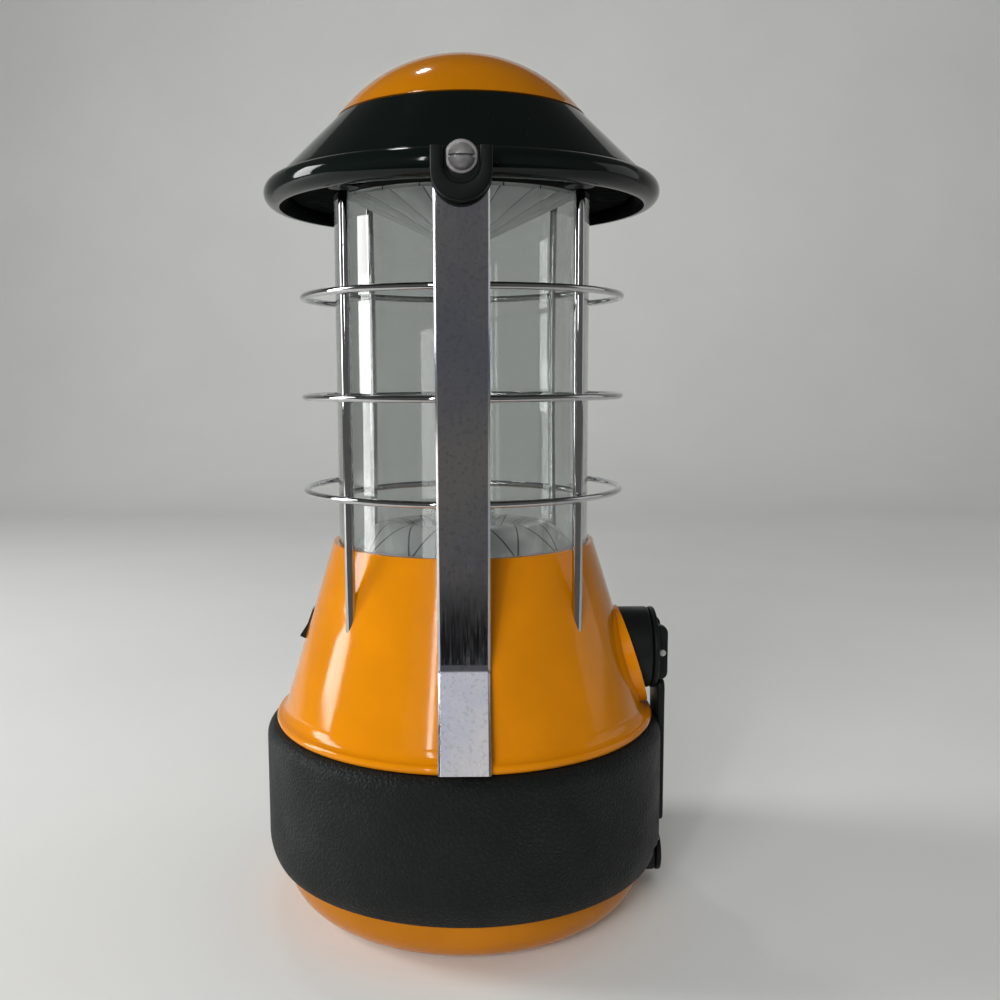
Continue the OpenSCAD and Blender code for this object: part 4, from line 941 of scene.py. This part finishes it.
class LANTERN_OT_crank(Operator):
    """The crank's collar, hub, sleeve, tip, knob and hinge pin with softened edges"""

    bl_idname = "lantern.crank"
    bl_label = "Crank"

    def execute(self, context):
        c, k = context.scene.lantern_colours, context.scene.lantern_crank
        black = small_moulding("crank_black", c.moulding, 0.42, shine=0.26)
        half, low, neck = k.arm_w / 2, (0.0, k.knob_z), k.knob_x + k.neck_h
        plan = corners(oblong(-half, half, k.arm_low, k.arm_high), k.arm_round, 9, closed=True)
        sleeve = slab(plan, k.arm_in, k.arm_out, 0.7)[..., [2, 0, 1]]
        tip = corners(oblong(0.0, k.knob_r, k.tip_x, k.arm_out), 0.6, 6)
        knob = corners([[0.0, neck], [k.neck_r, neck], [k.neck_r, k.knob_x], [k.knob_r, k.knob_x],
                        [k.knob_r, k.knob_end], [0.0, k.knob_end]], [0.0, 0.2, 0.2, 0.9, 0.6, 0.0], 7)
        for name, body, node, parts in (
            ("collar", "lantern", "crank_collar", [(self.collar(k), True, False)]),
            ("hub", "crank", "crank_hub", self.hub(k)),
            ("sleeve", "crank_arm", "arm_sleeve", [(sleeve, False, True)]),
            ("tip", "crank_arm", "arm_tip", [(turned(tip, 128, "x", low), True, False)]),
            ("knob", "knob", "crank_knob", [(turned(knob, 128, "x", low), True, False)]),
        ):
            piece(name, parts, black, "black_plastic", body, node)
        pin = corners(oblong(0.0, k.pin_r, -k.pin_end, k.pin_end), 0.3, 6)
        pin = turned(pin, 48, "y", (k.pin_x, k.axis_z))
        piece("pin", [(pin, True, False)], satin("pin_steel", c.bright), "steel", "crank", "hinge_pin")
        return {"FINISHED"}

    def collar(self, k):
        """A drum along X whose inner end follows the slanting face of the cone's pad."""
        line = corners(oblong(0.0, k.collar_r, k.collar_in, k.collar_x), 1.0, 7)
        drum = turned(line, 192, "x", (0.0, k.axis_z))
        pad = k.cone_r + k.cone_slope * (k.cone_top - drum[..., 2]) + k.pad_h
        drum[..., 0] = np.maximum(drum[..., 0], np.minimum(pad, k.collar_x - 1.2))
        return drum

    def hub(self, k):
        """A disc along X with an ear on either side of the arm's eye."""
        line = corners(oblong(0.0, k.collar_r, k.hub_x, k.hub_face), 0.5, 6)
        disc = turned(line, 192, "x", (0.0, k.axis_z))
        ear = corners(oblong(k.hub_x + 0.4, k.ear_x, k.axis_z - k.ear_half, k.axis_z + k.ear_half),
                      [0.4, k.ear_round, k.ear_round, 0.4], 9, closed=True)
        ear = slab(ear, k.ear_in, k.ear_in + k.ear_t, 0.5)[..., [0, 2, 1]]
        return [(disc, True, False)] + [(ear * flip, False, True) for flip in MIRROR_Y]


class LANTERN_OT_finishes(Operator):
    """Finishes for all the solids, also those that a finer piece stands for"""

    bl_idname = "lantern.finishes"
    bl_label = "Finishes"

    def execute(self, context):
        c = context.scene.lantern_colours
        dress(moulded("shell_orange", c.shell, 0.10, shine=0.27), "cone_body", "dome_cap")
        # painted shadow: the base dish is the shell orange darkened to 66 per cent, for the boot's shadow
        # over it
        dress(moulded("base_orange_painted_shade", shade(c.shell, 0.66), 0.14, shine=0.2), "base_dish")
        # painted shade: the cap's underside, plate and screws in a darker copy of the cap black
        dress(painted_shade_black("under_cap_painted_shade", c.cap), "cap_shade", "cap_plate", "cap_screws")
        dress(small_moulding("moulding_black", c.moulding, 0.38),
              "rod_washers", "front_strap_end", "back_strap_end", "crank_collar", "crank_hub", "arm_sleeve",
              "arm_tip", "crank_knob", "rocker", "switch_housing", "battery_tray", "board_components")
        dress(grained_rubber("boot_backing", c.rubber), "rubber_boot")
        dress(bright_metal("plain_steel", c.steel, 0.28),
              "cage_rods", "ring_upper", "ring_middle", "ring_lower", "trim_ring", "front_strap",
              "back_strap", "base_screws", "pivot_screws", "rod_nuts", "crank_shaft", "shaft_clip",
              "hinge_pin", "arm_core", "knob_axle", "gearbox_outer_plate", "gearbox_inner_plate",
              "gear_axles", "rotor_shaft", "generator_can", "rocker_pin", "upper_reflector",
              "lower_reflector")
        dress(clear_moulding("clear_solid", GLASS_TINT), "lens_tube", "lamp_bulb")
        dress(bright_metal("turned_brass", (0.7, 0.47, 0.16), 0.25), "gearbox_spacers", "rotor_pinion")
        dress(bright_metal("coil_copper", (0.72, 0.32, 0.16), 0.35, (0.05, 1, 1), 2500.0), "stator_coils")
        for name, rgb, rough, *nodes in (
            ("gasket_rubber", (0.03, 0.03, 0.03), 0.6, "lens_top_gasket", "lens_bottom_gasket"),
            ("white_moulding", (0.72, 0.72, 0.69), 0.4, "lamp_deck", "lamp_holder", "led_stem"),
            ("gear_plastic", (0.68, 0.65, 0.55), 0.4, "crank_gear", "first_gear", "second_gear"),
            ("magnet_ceramic", (0.04, 0.04, 0.045), 0.5, "rotor_magnet"),
            ("cell_sleeve", (0.03, 0.22, 0.07), 0.25, "battery_cells"),
            ("board_lacquer", (0.01, 0.1, 0.03), 0.3, "control_board"),
            ("lead_sleeve", (0.4, 0.02, 0.01), 0.4, "inner_leads"),
        ):
            dress(moulded(name, rgb, rough, specks=False), *nodes)
        return {"FINISHED"}


class LANTERN_PT_panel(Panel):
    """Lists the lantern's settings and its build steps"""

    bl_label = "Wind-up Lantern"
    bl_idname = "LANTERN_PT_panel"
    bl_space_type = "VIEW_3D"
    bl_region_type = "UI"
    bl_category = "Lantern"

    def draw(self, context):
        for group in GROUPS:
            box = self.layout.box()
            settings = getattr(context.scene, group)
            for prop in settings.__annotations__:
                box.prop(settings, prop)
        for step in STEPS:
            self.layout.operator(step.bl_idname)


STEPS = (LANTERN_OT_stage, LANTERN_OT_finishes, LANTERN_OT_cap, LANTERN_OT_boot, LANTERN_OT_lamp,
         LANTERN_OT_cage, LANTERN_OT_straps, LANTERN_OT_crank)
GROUPS = {"lantern_colours": LanternColours, "lantern_shell": LanternShell, "lantern_cage": LanternCage,
          "lantern_crank": LanternCrank, "lantern_stage": LanternStage}


def register():
    for cls in (*GROUPS.values(), *STEPS, LANTERN_PT_panel):
        bpy.utils.register_class(cls)
    for name, cls in GROUPS.items():
        setattr(bpy.types.Scene, name, PointerProperty(type=cls))


def unregister():
    for name in GROUPS:
        delattr(bpy.types.Scene, name)
    for cls in (LANTERN_PT_panel, *reversed(STEPS), *GROUPS.values()):
        bpy.utils.unregister_class(cls)


def main():
    register()
    for step in STEPS:
        group, name = step.bl_idname.split(".")
        getattr(getattr(bpy.ops, group), name)()


if __name__ == "__main__":
    main()
